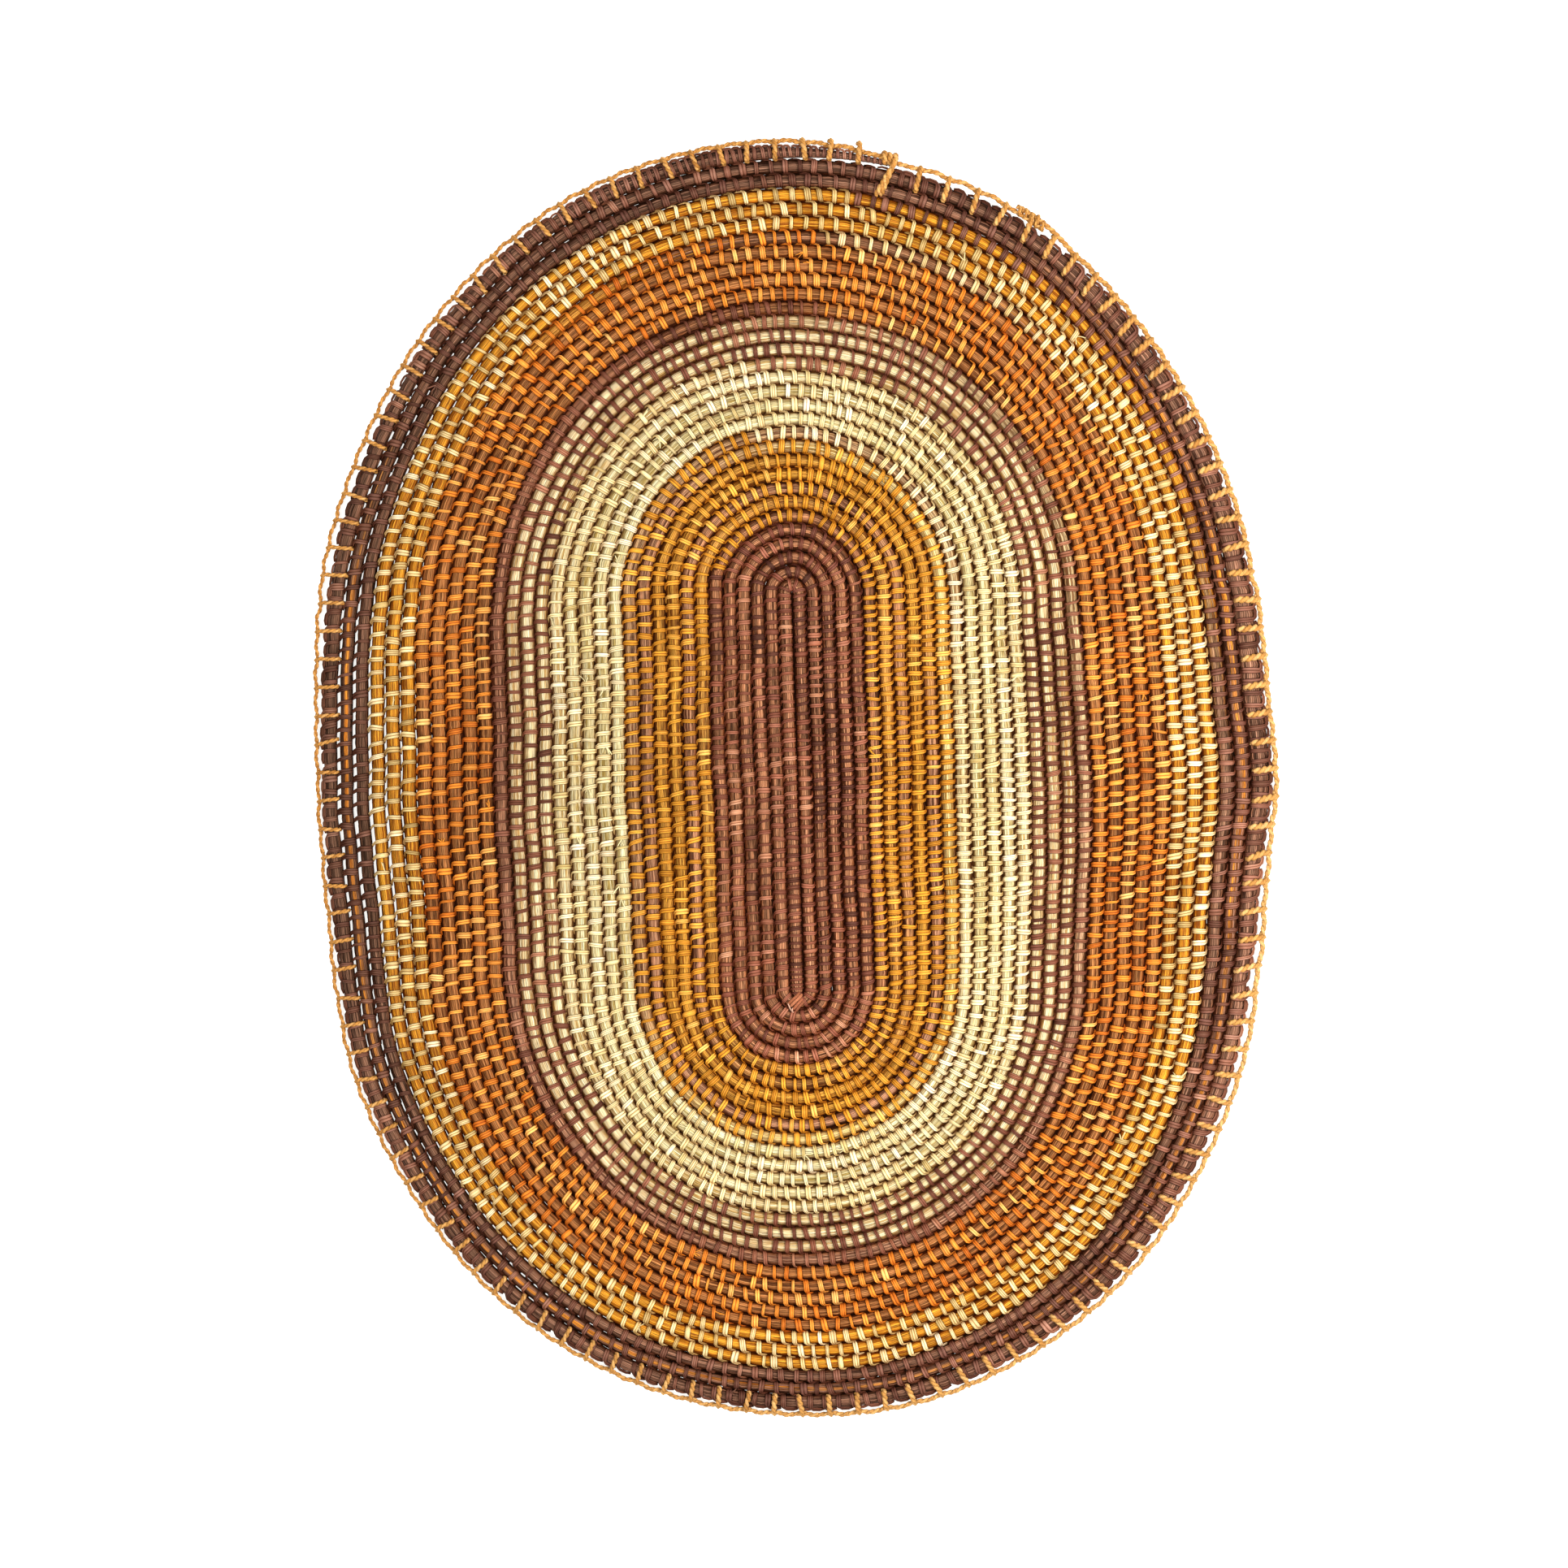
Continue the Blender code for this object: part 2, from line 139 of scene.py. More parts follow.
# Stitch spacing by turn, and closer stitches where the coil starts, folds, turns its first corner
# and ends. A stitch hooks a thread within HOOK_REACH spacings and misses it by a share of that.
STITCH_TURNS = (-0.375, -0.37, -0.33, -0.16, -0.12, 0.10, 0.16, 0.33, 0.38, 0.44, 0.5,
                5.0, 11.0, 16.0, 20.0, 24.0, 30.9, 30.985, 31.02)
STITCH_SPACINGS = (0.0032, 0.0038, 0.0060, 0.0068, 0.0042, 0.0042, 0.0068, 0.0068, 0.0042, 0.0044,
                   0.0070, 0.0072, 0.0077, 0.0081, 0.0084, 0.0092, 0.0095, 0.0054, 0.0036)
STITCH_SIDE_SHARES = (1.05, 0.95, 0.88, 0.93, 1.03, 1.05, 1.06, 1.06, 1.05)
STITCH_SIDES_FROM = 0.5
FIRST_STITCH = 0.0011
LAST_STITCH_MARGIN = 0.0012
SPACING_SPREAD = 0.16
HOOKED_FROM = 0.55
HOOK_REACH = 0.3
HOOK_MISS = 0.25

LOTS = (
    ("brown_start", 4.90), ("gold", 10.98), ("cream", 15.99), ("mauve", 20.01),
    ("orange", 25.01), ("yellow", 28.015), ("dark_rim", COIL_END),
)
# The bundle's fibres by turn: where a run of them begins, its dark fibres and its light ones.
BUNDLE_DYES = (
    (-1.0, (76, 38, 24), (208, 148, 112)),
    (5.40, (80, 40, 24), (210, 148, 106)),
    (5.55, (124, 70, 18), (240, 182, 88)),
    (6.55, (100, 56, 26), (222, 162, 88)),
    (6.65, (84, 42, 28), (212, 156, 120)),
    (7.35, (84, 42, 26), (214, 156, 108)),
    (7.50, (122, 66, 10), (238, 178, 74)),
    (8.40, (114, 66, 12), (226, 166, 66)),
    (9.15, (116, 66, 16), (226, 168, 76)),
    (9.25, (90, 48, 34), (212, 158, 124)),
    (9.95, (90, 48, 34), (212, 158, 120)),
    (10.05, (160, 120, 50), (250, 230, 168)),
    (10.55, (156, 116, 50), (248, 222, 158)),
    (10.65, (90, 50, 34), (214, 166, 124)),
    (11.05, (92, 50, 32), (224, 184, 136)),
    (11.20, (160, 116, 60), (252, 240, 192)),
    (11.55, (190, 166, 96), (254, 249, 212)),
    (12.10, (172, 146, 78), (252, 242, 196)),
    (13.50, (164, 138, 72), (250, 238, 190)),
    (14.50, (178, 150, 82), (252, 242, 200)),
    (16.00, (186, 150, 88), (254, 240, 198)),
    (18.90, (186, 146, 88), (254, 239, 200)),
    (19.10, (120, 80, 48), (246, 222, 172)),
    (19.45, (98, 56, 42), (206, 156, 124)),
    (19.95, (88, 48, 34), (184, 128, 98)),
    (20.03, (94, 48, 18), (204, 140, 84)),
    (24.92, (96, 50, 18), (204, 138, 82)),
    (24.935, (140, 80, 16), (246, 180, 80)),
    (24.965, (140, 80, 16), (246, 180, 80)),
    (24.98, (72, 40, 26), (184, 130, 96)),
    (25.06, (74, 40, 24), (190, 138, 98)),
    (25.08, (146, 78, 8), (250, 182, 60)),
    (28.11, (146, 78, 8), (248, 180, 58)),
    (28.135, (84, 52, 30), (206, 164, 110)),
    (28.20, (70, 42, 32), (180, 136, 108)),
    (28.45, (64, 36, 28), (170, 124, 100)),
    (32.0, (60, 34, 28), (164, 120, 98)),
)
# Gold fibres that run along the middle of the dark row inside the rim.
GOLD_CORE_TURNS = (29.04, 29.10, 29.30, 29.42, 29.5, 29.62, 29.72, 29.80, 29.86, 29.92)
GOLD_CORE_SHARES = (0.0, 0.8, 0.5, 0.7, 0.5, 0.7, 1.0, 1.0, 0.5, 0.0)
GOLD_CORE_DYES = ((150, 80, 14), (240, 160, 56))
GOLD_CORE_HALF_ANGLE = math.radians(30)
GOLD_CORE_DRIFT = (0.05, 0.5)


def dye(seen):
    """Colours read in the 0 to 255 of a picture, as the linear light that a shader takes."""
    share = np.array(seen) / 255
    return np.where(share > 0.04045, ((share + 0.055) / 1.055) ** 2.4, share / 12.92)


def bundle_dye(turn, column):
    """Column 1 (dark) or 2 (light) of BUNDLE_DYES at each turn, blended between its rows."""
    starts = [row[0] for row in BUNDLE_DYES]
    dyes = dye([row[column] for row in BUNDLE_DYES])
    return np.stack([np.interp(turn, starts, dyes[:, channel]) for channel in range(3)], axis=-1)


def round_loop(turn, values, places=SIDE_PLACES):
    """A value that runs straight between places round a loop, the same in every loop."""
    return np.interp(np.mod(turn, 1.0), places, values)


def path_lengths(points):
    """Metres along a path to each of its points."""
    return np.concatenate([[0], np.cumsum(np.linalg.norm(np.diff(points, axis=0), axis=1))])


def coil_line(turn):
    """Middle of the coil, its outward direction and the room that a row has there.

    Each place is its foot on the centre run plus its reach along a direction that turns half a
    circle round each end. Its reach is its count of rows out from the centre run times a pitch
    that drifts from that of the centre to that of the rim, averaged over a short way round.
    """
    up = np.array([-math.sin(CENTRE_TILT), math.cos(CENTRE_TILT)])
    right = np.array([math.cos(CENTRE_TILT), math.sin(CENTRE_TILT)])
    angle = round_loop(turn, np.radians([0, 90, 90, 270, 270, 360]), CORNERS)
    down_share = round_loop(turn, [0, 0, 1, 1, 0, 0], CORNERS)
    rows = np.floor(turn) + round_loop(turn, [0.5, 0.5, 1, 1, 1.5, 1.5], CORNERS)
    foot = (CENTRE_RUN * (0.5 - down_share))[:, None] * up
    foot = foot + (PITCH / 2 * (1 - down_share))[:, None] * right + MAT_SHIFT
    way = np.sin(angle)[:, None] * right + np.cos(angle)[:, None] * up
    rim = np.mean([round_loop(turn + step, RIM_PITCH_SHARES, RIM_PLACES) for step in RIM_AVERAGING], axis=0)
    drift = PITCH * (rim - 1) * rows / RIM_ROWS
    sway = sum(share * np.sin(2 * math.pi * waves * turn + start) for waves, start, share in SWAYS)
    reach = rows * (PITCH + drift) + WANDER * sway * np.clip(rows / WANDER_ROWS, LEAST_WANDER, 1)
    return foot + way * reach[:, None], way, PITCH + 2 * drift


turn_table = np.linspace(COIL_START, COIL_END, TABLE_POINTS)
middle_table, way_table, room_table = coil_line(turn_table)
tip_way = middle_table[0] - middle_table[TIP_HEADING_POINTS]
tip_way = tip_way / np.linalg.norm(tip_way) * TIP_LENGTH
tip_shares = np.linspace(1, 0, TIP_POINTS, endpoint=False)[:, None]
middle_table = np.concatenate([middle_table[:1] + tip_shares * tip_way, middle_table])
way_table = np.concatenate([np.repeat(way_table[:1], TIP_POINTS, axis=0), way_table])
room_table = np.concatenate([np.repeat(room_table[:1], TIP_POINTS), room_table])
turn_table = np.concatenate([COIL_START - TIP_TURN_STEP * np.arange(TIP_POINTS, 0, -1), turn_table])
run_table = path_lengths(middle_table)
lot_ends = dict(LOTS)
lot_starts = dict(zip(lot_ends, [turn_table[0], *lot_ends.values()]))


def turn_at(run):
    return np.interp(run, run_table, turn_table)


def run_at(turn):
    return np.interp(turn, turn_table, run_table)


def room_at(run):
    return np.interp(run, run_table, room_table)


def from_table(run, table):
    return np.stack([np.interp(run, run_table, table[:, axis]) for axis in (0, 1)], axis=-1)


def on_coil(run, across):
    """Level points a run of metres along the coil, moved outwards across it."""
    return from_table(run, middle_table) + np.asarray(across)[..., None] * from_table(run, way_table)


def outward_on_coil(run):
    way = from_table(run, way_table)
    return way / np.linalg.norm(way, axis=-1, keepdims=True)


swell_knots = np.random.default_rng(9).uniform(-1, 1, SWELL_COUNT)


def bundle_half_width(run):
    """Half the bundle's width: a share of the room a row has, less at the fold and at both ends."""
    turn = turn_at(run)
    looseness = np.interp(turn, LOOSE_TURNS, [0.0, 1.0])
    share = SNUG_WIDTH_SHARE + (round_loop(turn, LOOSE_WIDTH_SHARES) - SNUG_WIDTH_SHARE) * looseness
    fold = np.interp(np.abs(turn), [0.0, FOLD_TURNS], [FOLD_WIDTH_SHARE, 1.0])
    start = np.sqrt(np.interp(run, [0.0, TIP_LENGTH], [TIP_WIDTH_SHARE, 1.0]))
    end = np.interp(turn, [TAPER_START, COIL_END], [1.0, END_WIDTH_SHARE])
    uneven = 1 + WIDTH_UNEVENNESS * np.interp(run, np.arange(SWELL_COUNT) * SWELL_STEP, swell_knots)
    return room_at(run) * share / 2 * fold * start * end * uneven


def bundle_height(run):
    start = np.interp(run, [0.0, TIP_LENGTH], [TIP_HEIGHT_SHARE, 1.0])
    return BUNDLE_HEIGHT * start * np.interp(turn_at(run), [TAPER_START, COIL_END], [1.0, END_HEIGHT_SHARE])


def outer_spread(run):
    """How much wider a row is on its outer side: the outermost row, which no row presses on, and
    the fold at the centre, where the bundle is bent hard."""
    turn = turn_at(run)
    rim = round_loop(turn, RIM_SPREADS, RIM_SPREAD_PLACES) * np.interp(turn, RIM_ROW_TURNS, RIM_ROW_SHARES)
    return rim + np.interp(np.abs(turn), FOLD_SPREAD_TURNS, FOLD_SPREADS)


def painted_side_shade(run):
    """How light the rows are painted on each side of the mat, as painted light and shade: darker at the
    left; the dark rows near the rim differ most and are much lighter at the right.
    """
    turn = turn_at(run)
    inner = round_loop(turn, PAINTED_SIDE_SHADES, SHADE_PLACES)
    rim = round_loop(turn, DARK_RIM_PAINTED_SHADES, SHADE_PLACES)
    return inner + (rim - inner) * np.interp(turn, DARK_RIM_TURNS, [0.0, 1.0])


def slow_noise(random, run, drift, rows):
    """Random values to both sides of zero, a series for each row, eased between steps of the run."""
    step, strength = drift
    knots = random.uniform(-1, 1, (rows, int(run_table[-1] / step) + 3))
    place = run / step
    left = np.floor(place).astype(int)
    share = place - left
    share = share * share * (3 - 2 * share)
    return strength * (knots[:, left] * (1 - share) + knots[:, left + 1] * share)


def place_stitches():
    """Runs of the stitches along the coil, and their spacings.

    Each is hooked where the thread of a stitch in the row inside it ends, as near as possible to
    its own spacing from the stitch before; where none is in reach, one is set in between.
    """
    random = np.random.default_rng(20)
    sides = np.where(turn_table < STITCH_SIDES_FROM, 1.0, round_loop(turn_table, STITCH_SIDE_SHARES))
    spacing_table = np.interp(turn_table, STITCH_TURNS, STITCH_SPACINGS) * sides
    runs, spacings, hooks = [FIRST_STITCH], [STITCH_SPACINGS[0]], []
    while runs[-1] < run_table[-1] - LAST_STITCH_MARGIN:
        wanted = float(np.interp(runs[-1], run_table, spacing_table))
        spot = runs[-1] + wanted * random.uniform(1 - SPACING_SPREAD, 1 + SPACING_SPREAD)
        if turn_at(runs[-1]) > HOOKED_FROM:
            place = bisect.bisect_left(hooks, spot)
            near = hooks[place] if hooks[-1] > spot else spot
            before = hooks[max(0, place - 1)]
            best = near if abs(near - spot) < abs(before - spot) else before
            if abs(best - spot) < HOOK_REACH * wanted:
                spot = best + (spot - best) * HOOK_MISS
        runs.append(spot)
        spacings.append(wanted)
        hooks.append(float(run_at(turn_at(spot - 0.5 * wanted) + 1.0)))
    return np.array(runs[:-1]), np.array(spacings[:-1])


stitch_runs, stitch_spacings = place_stitches()


def tube(along, sides):
    """Faces, end faces and surface places of a tube with a ring of points at each place along it."""
    rings = len(along)
    ring, side = np.divmod(np.arange((rings - 1) * sides), sides)
    here, after = ring * sides, (side + 1) % sides
    quads = np.stack([here + side, here + after, here + sides + after, here + sides + side], -1)
    caps = [np.arange(sides)[::-1], np.arange(sides) + (rings - 1) * sides]
    across = np.linspace(0, 1, sides + 1)
    left, right, low, high = across[side], across[side + 1], along[ring], along[ring + 1]
    uv = np.stack([left, low, right, low, right, high, left, high], -1).reshape(-1, 2)
    return quads, caps, uv


def linked(name, data):
    made = bpy.data.objects.new(name, data)
    bpy.context.scene.collection.objects.link(made)
    return made


def add_mesh(name, points, quads, caps, colours, uv, finish, node=None):
    """A closed piece from arrays: points, four-cornered faces, end faces, dyes and surface places."""
    flat = np.concatenate([quads.ravel(), *caps]).astype(np.int32)
    totals = np.concatenate([np.full(len(quads), 4), [len(cap) for cap in caps]]).astype(np.int32)
    starts = np.concatenate([[0], np.cumsum(totals)[:-1]]).astype(np.int32)
    mesh = bpy.data.meshes.new(name)
    mesh.vertices.add(len(points))
    mesh.vertices.foreach_set("co", points.astype(np.float32).ravel())
    mesh.loops.add(len(flat))
    mesh.loops.foreach_set("vertex_index", flat)
    mesh.polygons.add(len(totals))
    mesh.polygons.foreach_set("loop_start", starts)
    mesh.polygons.foreach_set("loop_total", totals)
    mesh.update(calc_edges=True)
    mesh.polygons.foreach_set("use_smooth", np.ones(len(totals), bool))
    # The 'dye' colour of each point holds its dye with any painted light and shade multiplied in.
    rgba = np.concatenate([colours, np.ones((len(colours), 1))], axis=1)
    dyes = mesh.color_attributes.new("dye", "FLOAT_COLOR", "POINT")
    dyes.data.foreach_set("color", rgba.astype(np.float32).ravel())
    corner_uv = np.zeros((len(flat), 2), np.float32)
    corner_uv[:len(uv)] = uv
    mesh.uv_layers.new(name="lay").uv.foreach_set("vector", corner_uv.ravel())
    mesh.materials.append(finish)
    mesh.validate()
    piece = linked(name, mesh)
    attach(piece, "root")
    if node:
        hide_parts(node)


def fibre_finish(name, streak_scale, streak_shades, roughness, bump):
    """Dyed dry leaf: the colour of each point, its dye with painted light and shade, streaked along its
    length, with a faint waxy sheen.
    """
    made = bpy.data.materials.new(name)
    made.use_nodes = True
    nodes, links = made.node_tree.nodes, made.node_tree.links
    shader = nodes["Principled BSDF"]
    dyes = nodes.new("ShaderNodeVertexColor")
    dyes.layer_name = "dye"
    lay = nodes.new("ShaderNodeUVMap")
    lay.uv_map = "lay"
    stretch = nodes.new("ShaderNodeMapping")
    stretch.inputs["Scale"].default_value = streak_scale
    links.new(lay.outputs["UV"], stretch.inputs["Vector"])
    streaks = nodes.new("ShaderNodeTexNoise")
    streaks.inputs["Scale"].default_value = 1.0
    streaks.inputs["Detail"].default_value = 3.0
    streaks.inputs["Roughness"].default_value = 0.65
    links.new(stretch.outputs["Vector"], streaks.inputs["Vector"])
    depth = nodes.new("ShaderNodeMapRange")
    depth.inputs["From Min"].default_value = 0.36
    depth.inputs["From Max"].default_value = 0.60
    depth.inputs["To Min"].default_value = streak_shades[0]
    depth.inputs["To Max"].default_value = streak_shades[1]
    links.new(streaks.outputs["Fac"], depth.inputs["Value"])
    shade = nodes.new("ShaderNodeVectorMath")
    shade.operation = "SCALE"
    links.new(dyes.outputs["Color"], shade.inputs[0])
    links.new(depth.outputs["Result"], shade.inputs["Scale"])
    links.new(shade.outputs["Vector"], shader.inputs["Base Color"])
    ridge = nodes.new("ShaderNodeBump")
    ridge.inputs["Strength"].default_value = bump
    ridge.inputs["Distance"].default_value = 0.0002
    links.new(streaks.outputs["Fac"], ridge.inputs["Height"])
    links.new(ridge.outputs["Normal"], shader.inputs["Normal"])
    shader.inputs["Roughness"].default_value = roughness
    shader.inputs["Specular IOR Level"].default_value = 0.22
    shader.inputs["Specular Tint"].default_value = (1.0, 0.72, 0.42, 1)
    return made


bundle_finish = fibre_finish("bundle_leaf_fibre", (74.0, 60.0, 1.0), (0.5, 1.2), 0.62, 0.6)


def fibre_dyes(runs, ridge_angles, random):
    """The dye of each fibre along a run, between the dark and the light dye by its drifting tone.

    Each fibre changes dye at a place of its own, and the middle fibres of one row may be gold.
    """
    offsets = random.uniform(-DYE_CHANGE_SPREAD, DYE_CHANGE_SPREAD, TOP_FIBRES)
    tone = sum(slow_noise(random, runs, drift, TOP_FIBRES) for drift in TONE_DRIFTS)
    tone = np.clip(TONE_MIDDLE + tone + random.normal(0, TONE_SHAKE, tone.shape), 0, 1)
    made = []
    for fibre in range(TOP_FIBRES):
        turn = turn_at(np.clip(runs + offsets[fibre], 0, run_table[-1]))
        dark, light = bundle_dye(turn, 1), bundle_dye(turn, 2)
        if abs(ridge_angles[fibre] - math.pi / 2) < GOLD_CORE_HALF_ANGLE:
            core = np.interp(turn, GOLD_CORE_TURNS, GOLD_CORE_SHARES)
            drift = slow_noise(random, runs, GOLD_CORE_DRIFT, 1)[0]
            core = np.clip(core + drift * np.minimum(core * 3, 1), 0, 1)[:, None]
            # The gold fibres are divided by the painted side shade, so that they keep their own dye once it
            # is applied.
            gold_dark, gold_light = dye(GOLD_CORE_DYES)[:, None] / painted_side_shade(runs)[:, None]
            dark, light = dark + (gold_dark - dark) * core, light + (gold_light - light) * core
        made.append(dark + (light - dark) * tone[fibre][:, None])
    return np.stack(made, axis=1)


def bundle_piece(name, first, last, node):
    """A run of the bundle: a squarish oval section carried along the coil.

    Fibres ridge the upper three fifths of the section. Each fibre keeps its own height, place and
    dye, which drift along the run, and the section is squeezed at every stitch.
    """
    begin, end = run_at(first), run_at(last)
    inside = stitch_runs[(stitch_runs > begin + STITCH_CLEARANCE) & (stitch_runs < end - STITCH_CLEARANCE)]
    middles = (inside[1:] + inside[:-1]) / 2
    runs = np.sort(np.concatenate([[begin, end], inside, middles]))
    squeeze = np.where(np.isin(runs, inside), 1 - STITCH_SQUEEZE, 1.0)[:, None]
    random = np.random.default_rng(int(first * 10) + 50)
    step = FIBRE_ARC / (2 * TOP_FIBRES)
    upper = FIBRE_ARC_START + step * np.arange(2 * TOP_FIBRES + 1)
    under = np.linspace(upper[-1], upper[0] + 2 * math.pi, UNDER_POINTS + 2)[1:-1]
    angles = np.concatenate([upper, under])
    ridges, grooves = np.arange(1, 2 * TOP_FIBRES, 2), np.arange(0, 2 * TOP_FIBRES + 1, 2)
    inner_grooves = grooves[1:-1]

    turned = np.repeat(angles[None, :], len(runs), axis=0)
    sway = slow_noise(random, runs, FIBRE_SWAY, TOP_FIBRES + 1) * step
    turned[:, inner_grooves] += sway[:len(inner_grooves)].T
    turned[:, inner_grooves] += random.normal(0, step * FIBRE_SHAKE, (len(runs), len(inner_grooves)))
    turned[:, ridges] = (turned[:, grooves[1:]] + turned[:, grooves[:-1]]) / 2
    swell = np.ones(turned.shape)
    swell[:, ridges] += slow_noise(random, runs, RIDGE_DRIFT, TOP_FIBRES).T
    swell[:, ridges] += random.normal(0, RIDGE_SHAKE, (len(runs), TOP_FIBRES))
    swell[:, grooves] -= GROOVE_SHARE * (1 + slow_noise(random, runs, GROOVE_DRIFT, TOP_FIBRES + 1).T)

    cosine, sine = np.cos(turned), np.sin(turned)
    power = 2 / SECTION_SQUARENESS
    level = np.sign(cosine) * np.abs(cosine) ** power * swell
    level *= 1 - SHOULDER_SHARE * np.clip(SHOULDER_STEEPNESS * sine, 0, 1)
    level *= np.where(sine > SQUEEZED_ABOVE, squeeze, 1.0)
    height = np.sign(sine) * np.abs(sine) ** power * swell
    half, spread = bundle_half_width(runs)[:, None], outer_spread(runs)[:, None]
    level *= np.where(level > 0, 1 + spread, 1.0)
    tall = bundle_height(runs)[:, None] * (1 - (1 - squeeze) * STITCH_PRESS_SHARE)
    points = np.empty((*turned.shape, 3))
    points[..., :2] = on_coil(runs[:, None], level * half)
    points[..., 2] = FLOOR_GAP + tall / 2 * np.maximum(0, 1 + height)

    fibres = fibre_dyes(runs, angles[ridges], random)
    colours = np.empty(points.shape)
    colours[:, ridges] = fibres
    # Painted shade: the grooves between fibres are darker and deeper in colour, the outermost grooves
    # darker still, and the underside is dark.
    depth = random.uniform(*GROOVE_SHADES, (len(runs), len(inner_grooves), 1))
    colours[:, inner_grooves] = ((fibres[:, 1:] + fibres[:, :-1]) / 2) ** GROOVE_SHADE_POWER * depth
    colours[:, grooves[[0, -1]]] = fibres[:, [0, -1]] ** GROOVE_SHADE_POWER * SIDE_GROOVE_SHADE
    colours[:, len(upper):] = fibres[:, [UNDER_FIBRE]] * UNDER_FIBRE_SHADE
    # Painted shadow between rows: beyond its unshaded middle a row's sides darken and deepen in colour,
    # less on the open outer side of the outermost row, and the whole row is painted lighter or darker by
    # side of the mat.
    turns = turn_at(runs)
    unshaded_half = (round_loop(turns, UNSHADED_WIDTH_SHARES) * room_at(runs) / 2)[:, None]
    edge = np.abs(level * half) / (unshaded_half * (1 + spread))
    open_side = np.interp(turns, RIM_ROW_TURNS[:2], [0.0, 1 - OPEN_EDGE_SHARE])[:, None]
    edge *= np.where(level > 0, 1 - open_side, 1.0)
    shadow = np.where(sine < 0, EDGE_SHADES[-1], np.interp(edge, EDGE_PLACES, EDGE_SHADES))
    colours *= shadow[..., None] ** SHADOW_POWERS * painted_side_shade(runs)[:, None, None]

    quads, caps, uv = tube(runs - begin, len(angles))
    colours = colours.reshape(-1, 3)
    add_mesh(name, points.reshape(-1, 3), quads, caps, colours, uv, bundle_finish, node)


for lot in lot_ends:
    bundle_piece("bundle_" + lot, lot_starts[lot], lot_ends[lot], "coil_" + lot)

# The lashing
# Flat strands of split leaf, two or three side by side in each stitch. Each stitch goes over the
# bundle from the groove inside it to the groove outside it, and there bends back beside the row to
# the stitch before, as a thread that the next row's stitches hook under.
STRAND_WIDTH_TURNS = (4.8, 6.0, 15.5, 16.5, 20.5, 25.5, 30.5)
STRAND_HALF_WIDTHS = (0.00155, 0.00172, 0.00175, 0.00150, 0.00165, 0.00182, 0.00195)
STRAND_WIDTH_SPREAD = 0.22
STRAND_WIDTH_LIMITS = (0.55, 1.45)
MOST_WIDTH_SHARE = 0.285
STRAND_THICKNESS = 0.00066
THICKNESS_LIMITS = (0.85, 1.25)
LOWEST_POINT = 0.00005
RIBBON_TURNS = (4.9, 9.0)
RIBBON_REACHES = (0.82, 0.91)
RIM_THREAD_REACHES = (0.0012, 0.0014, 0.0014, 0.0013, 0.0010, 0.0010, 0.0009, 0.0010, 0.0012)
THREAD_BACK_LIMITS = (0.85, 1.1)
LEAST_GAP = 0.0006
STITCH_LEAN = 0.00028
LEAN_SPREAD = 0.00046
BOW_SPREAD = 0.00025
SKEW_SPREAD = 0.16
STRAND_LIFT_SHARE = 0.25
FACING_HEIGHT_SHARE = 0.45
THREAD_BACK = 0.2
THREAD_FACING_SHARE = 0.35
THREAD_FACING_RISE = 0.003
STREAK_SHIFT = 40
LASHING_SEED = 300
STITCH_TONE = 0.48
STITCH_TONE_DRIFT = (0.09, 0.32)
STITCH_TONE_SHAKE = 0.17
STITCH_TONE_LIMITS = (0.0, 0.999)
STITCH_SHADES = (0.88, 1.1)
STRAND_SHADES = (0.82, 1.1)
SHADE_DEEPENING = 0.25
# Painted shade on the thread in the groove beside the row, round the loop.
THREAD_PAINTED_SHADES = (0.95, 0.9, 0.45, 0.5, 0.85, 0.7, 0.6, 0.75, 0.95)
LASHING_DYES = {
    "brown_start": ((86, 48, 42), (108, 62, 52), (134, 78, 62), (166, 104, 82), (216, 160, 126)),
    "gold": ((190, 130, 40), (208, 144, 42), (226, 158, 50), (240, 176, 68), (248, 200, 104)),
    "cream": ((212, 192, 128), (236, 216, 156), (248, 234, 178), (253, 243, 200), (255, 249, 220)),
    "mauve": ((98, 56, 46), (116, 70, 56), (138, 86, 68), (160, 106, 82), (190, 136, 106)),
    "orange": ((196, 106, 32), (218, 124, 40), (238, 148, 52), (250, 174, 80), (254, 208, 126)),
    "yellow": ((198, 172, 112), (220, 194, 132), (238, 216, 158), (250, 232, 182), (254, 247, 216)),
    "dark_rim": ((88, 54, 46), (104, 66, 56), (124, 82, 68), (146, 100, 84), (174, 126, 104)),
}
# Section of a stitch across its ribbon: places, then heights and painted shades of a stitch of three
# strands, of two and of one. The painted shade is darker at the edges, between strands and underneath;
# across a single strand the shades are also faint streaks. The last point is underneath. STRAND_KINDS are
# the shares of the first two.
STRAND_KINDS = (0.52, 0.95)
RIBBON_PLACES = np.array([
    (-1.0, -0.68, -0.36, 0.0, 0.36, 0.68, 1.0, 0.0),
    (-1.0, -0.74, -0.32, 0.0, 0.32, 0.74, 1.0, 0.0),
    (-1.0, -0.70, -0.35, 0.0, 0.35, 0.70, 1.0, 0.0),
])
RIBBON_HEIGHTS = np.array([
    (0.05, 0.85, 0.42, 1.0, 0.42, 0.85, 0.05, -0.5),
    (0.05, 0.80, 0.92, 0.36, 0.92, 0.80, 0.05, -0.5),
    (0.05, 0.62, 0.88, 0.96, 0.88, 0.62, 0.05, -0.5),
])
RIBBON_PAINTED_SHADES = np.array([
    (0.40, 1.0, 0.32, 1.0, 0.32, 1.0, 0.40, 0.2),
    (0.40, 0.96, 1.0, 0.30, 1.0, 0.96, 0.40, 0.2),
    (0.42, 0.88, 0.78, 0.95, 0.80, 0.90, 0.42, 0.2),
])
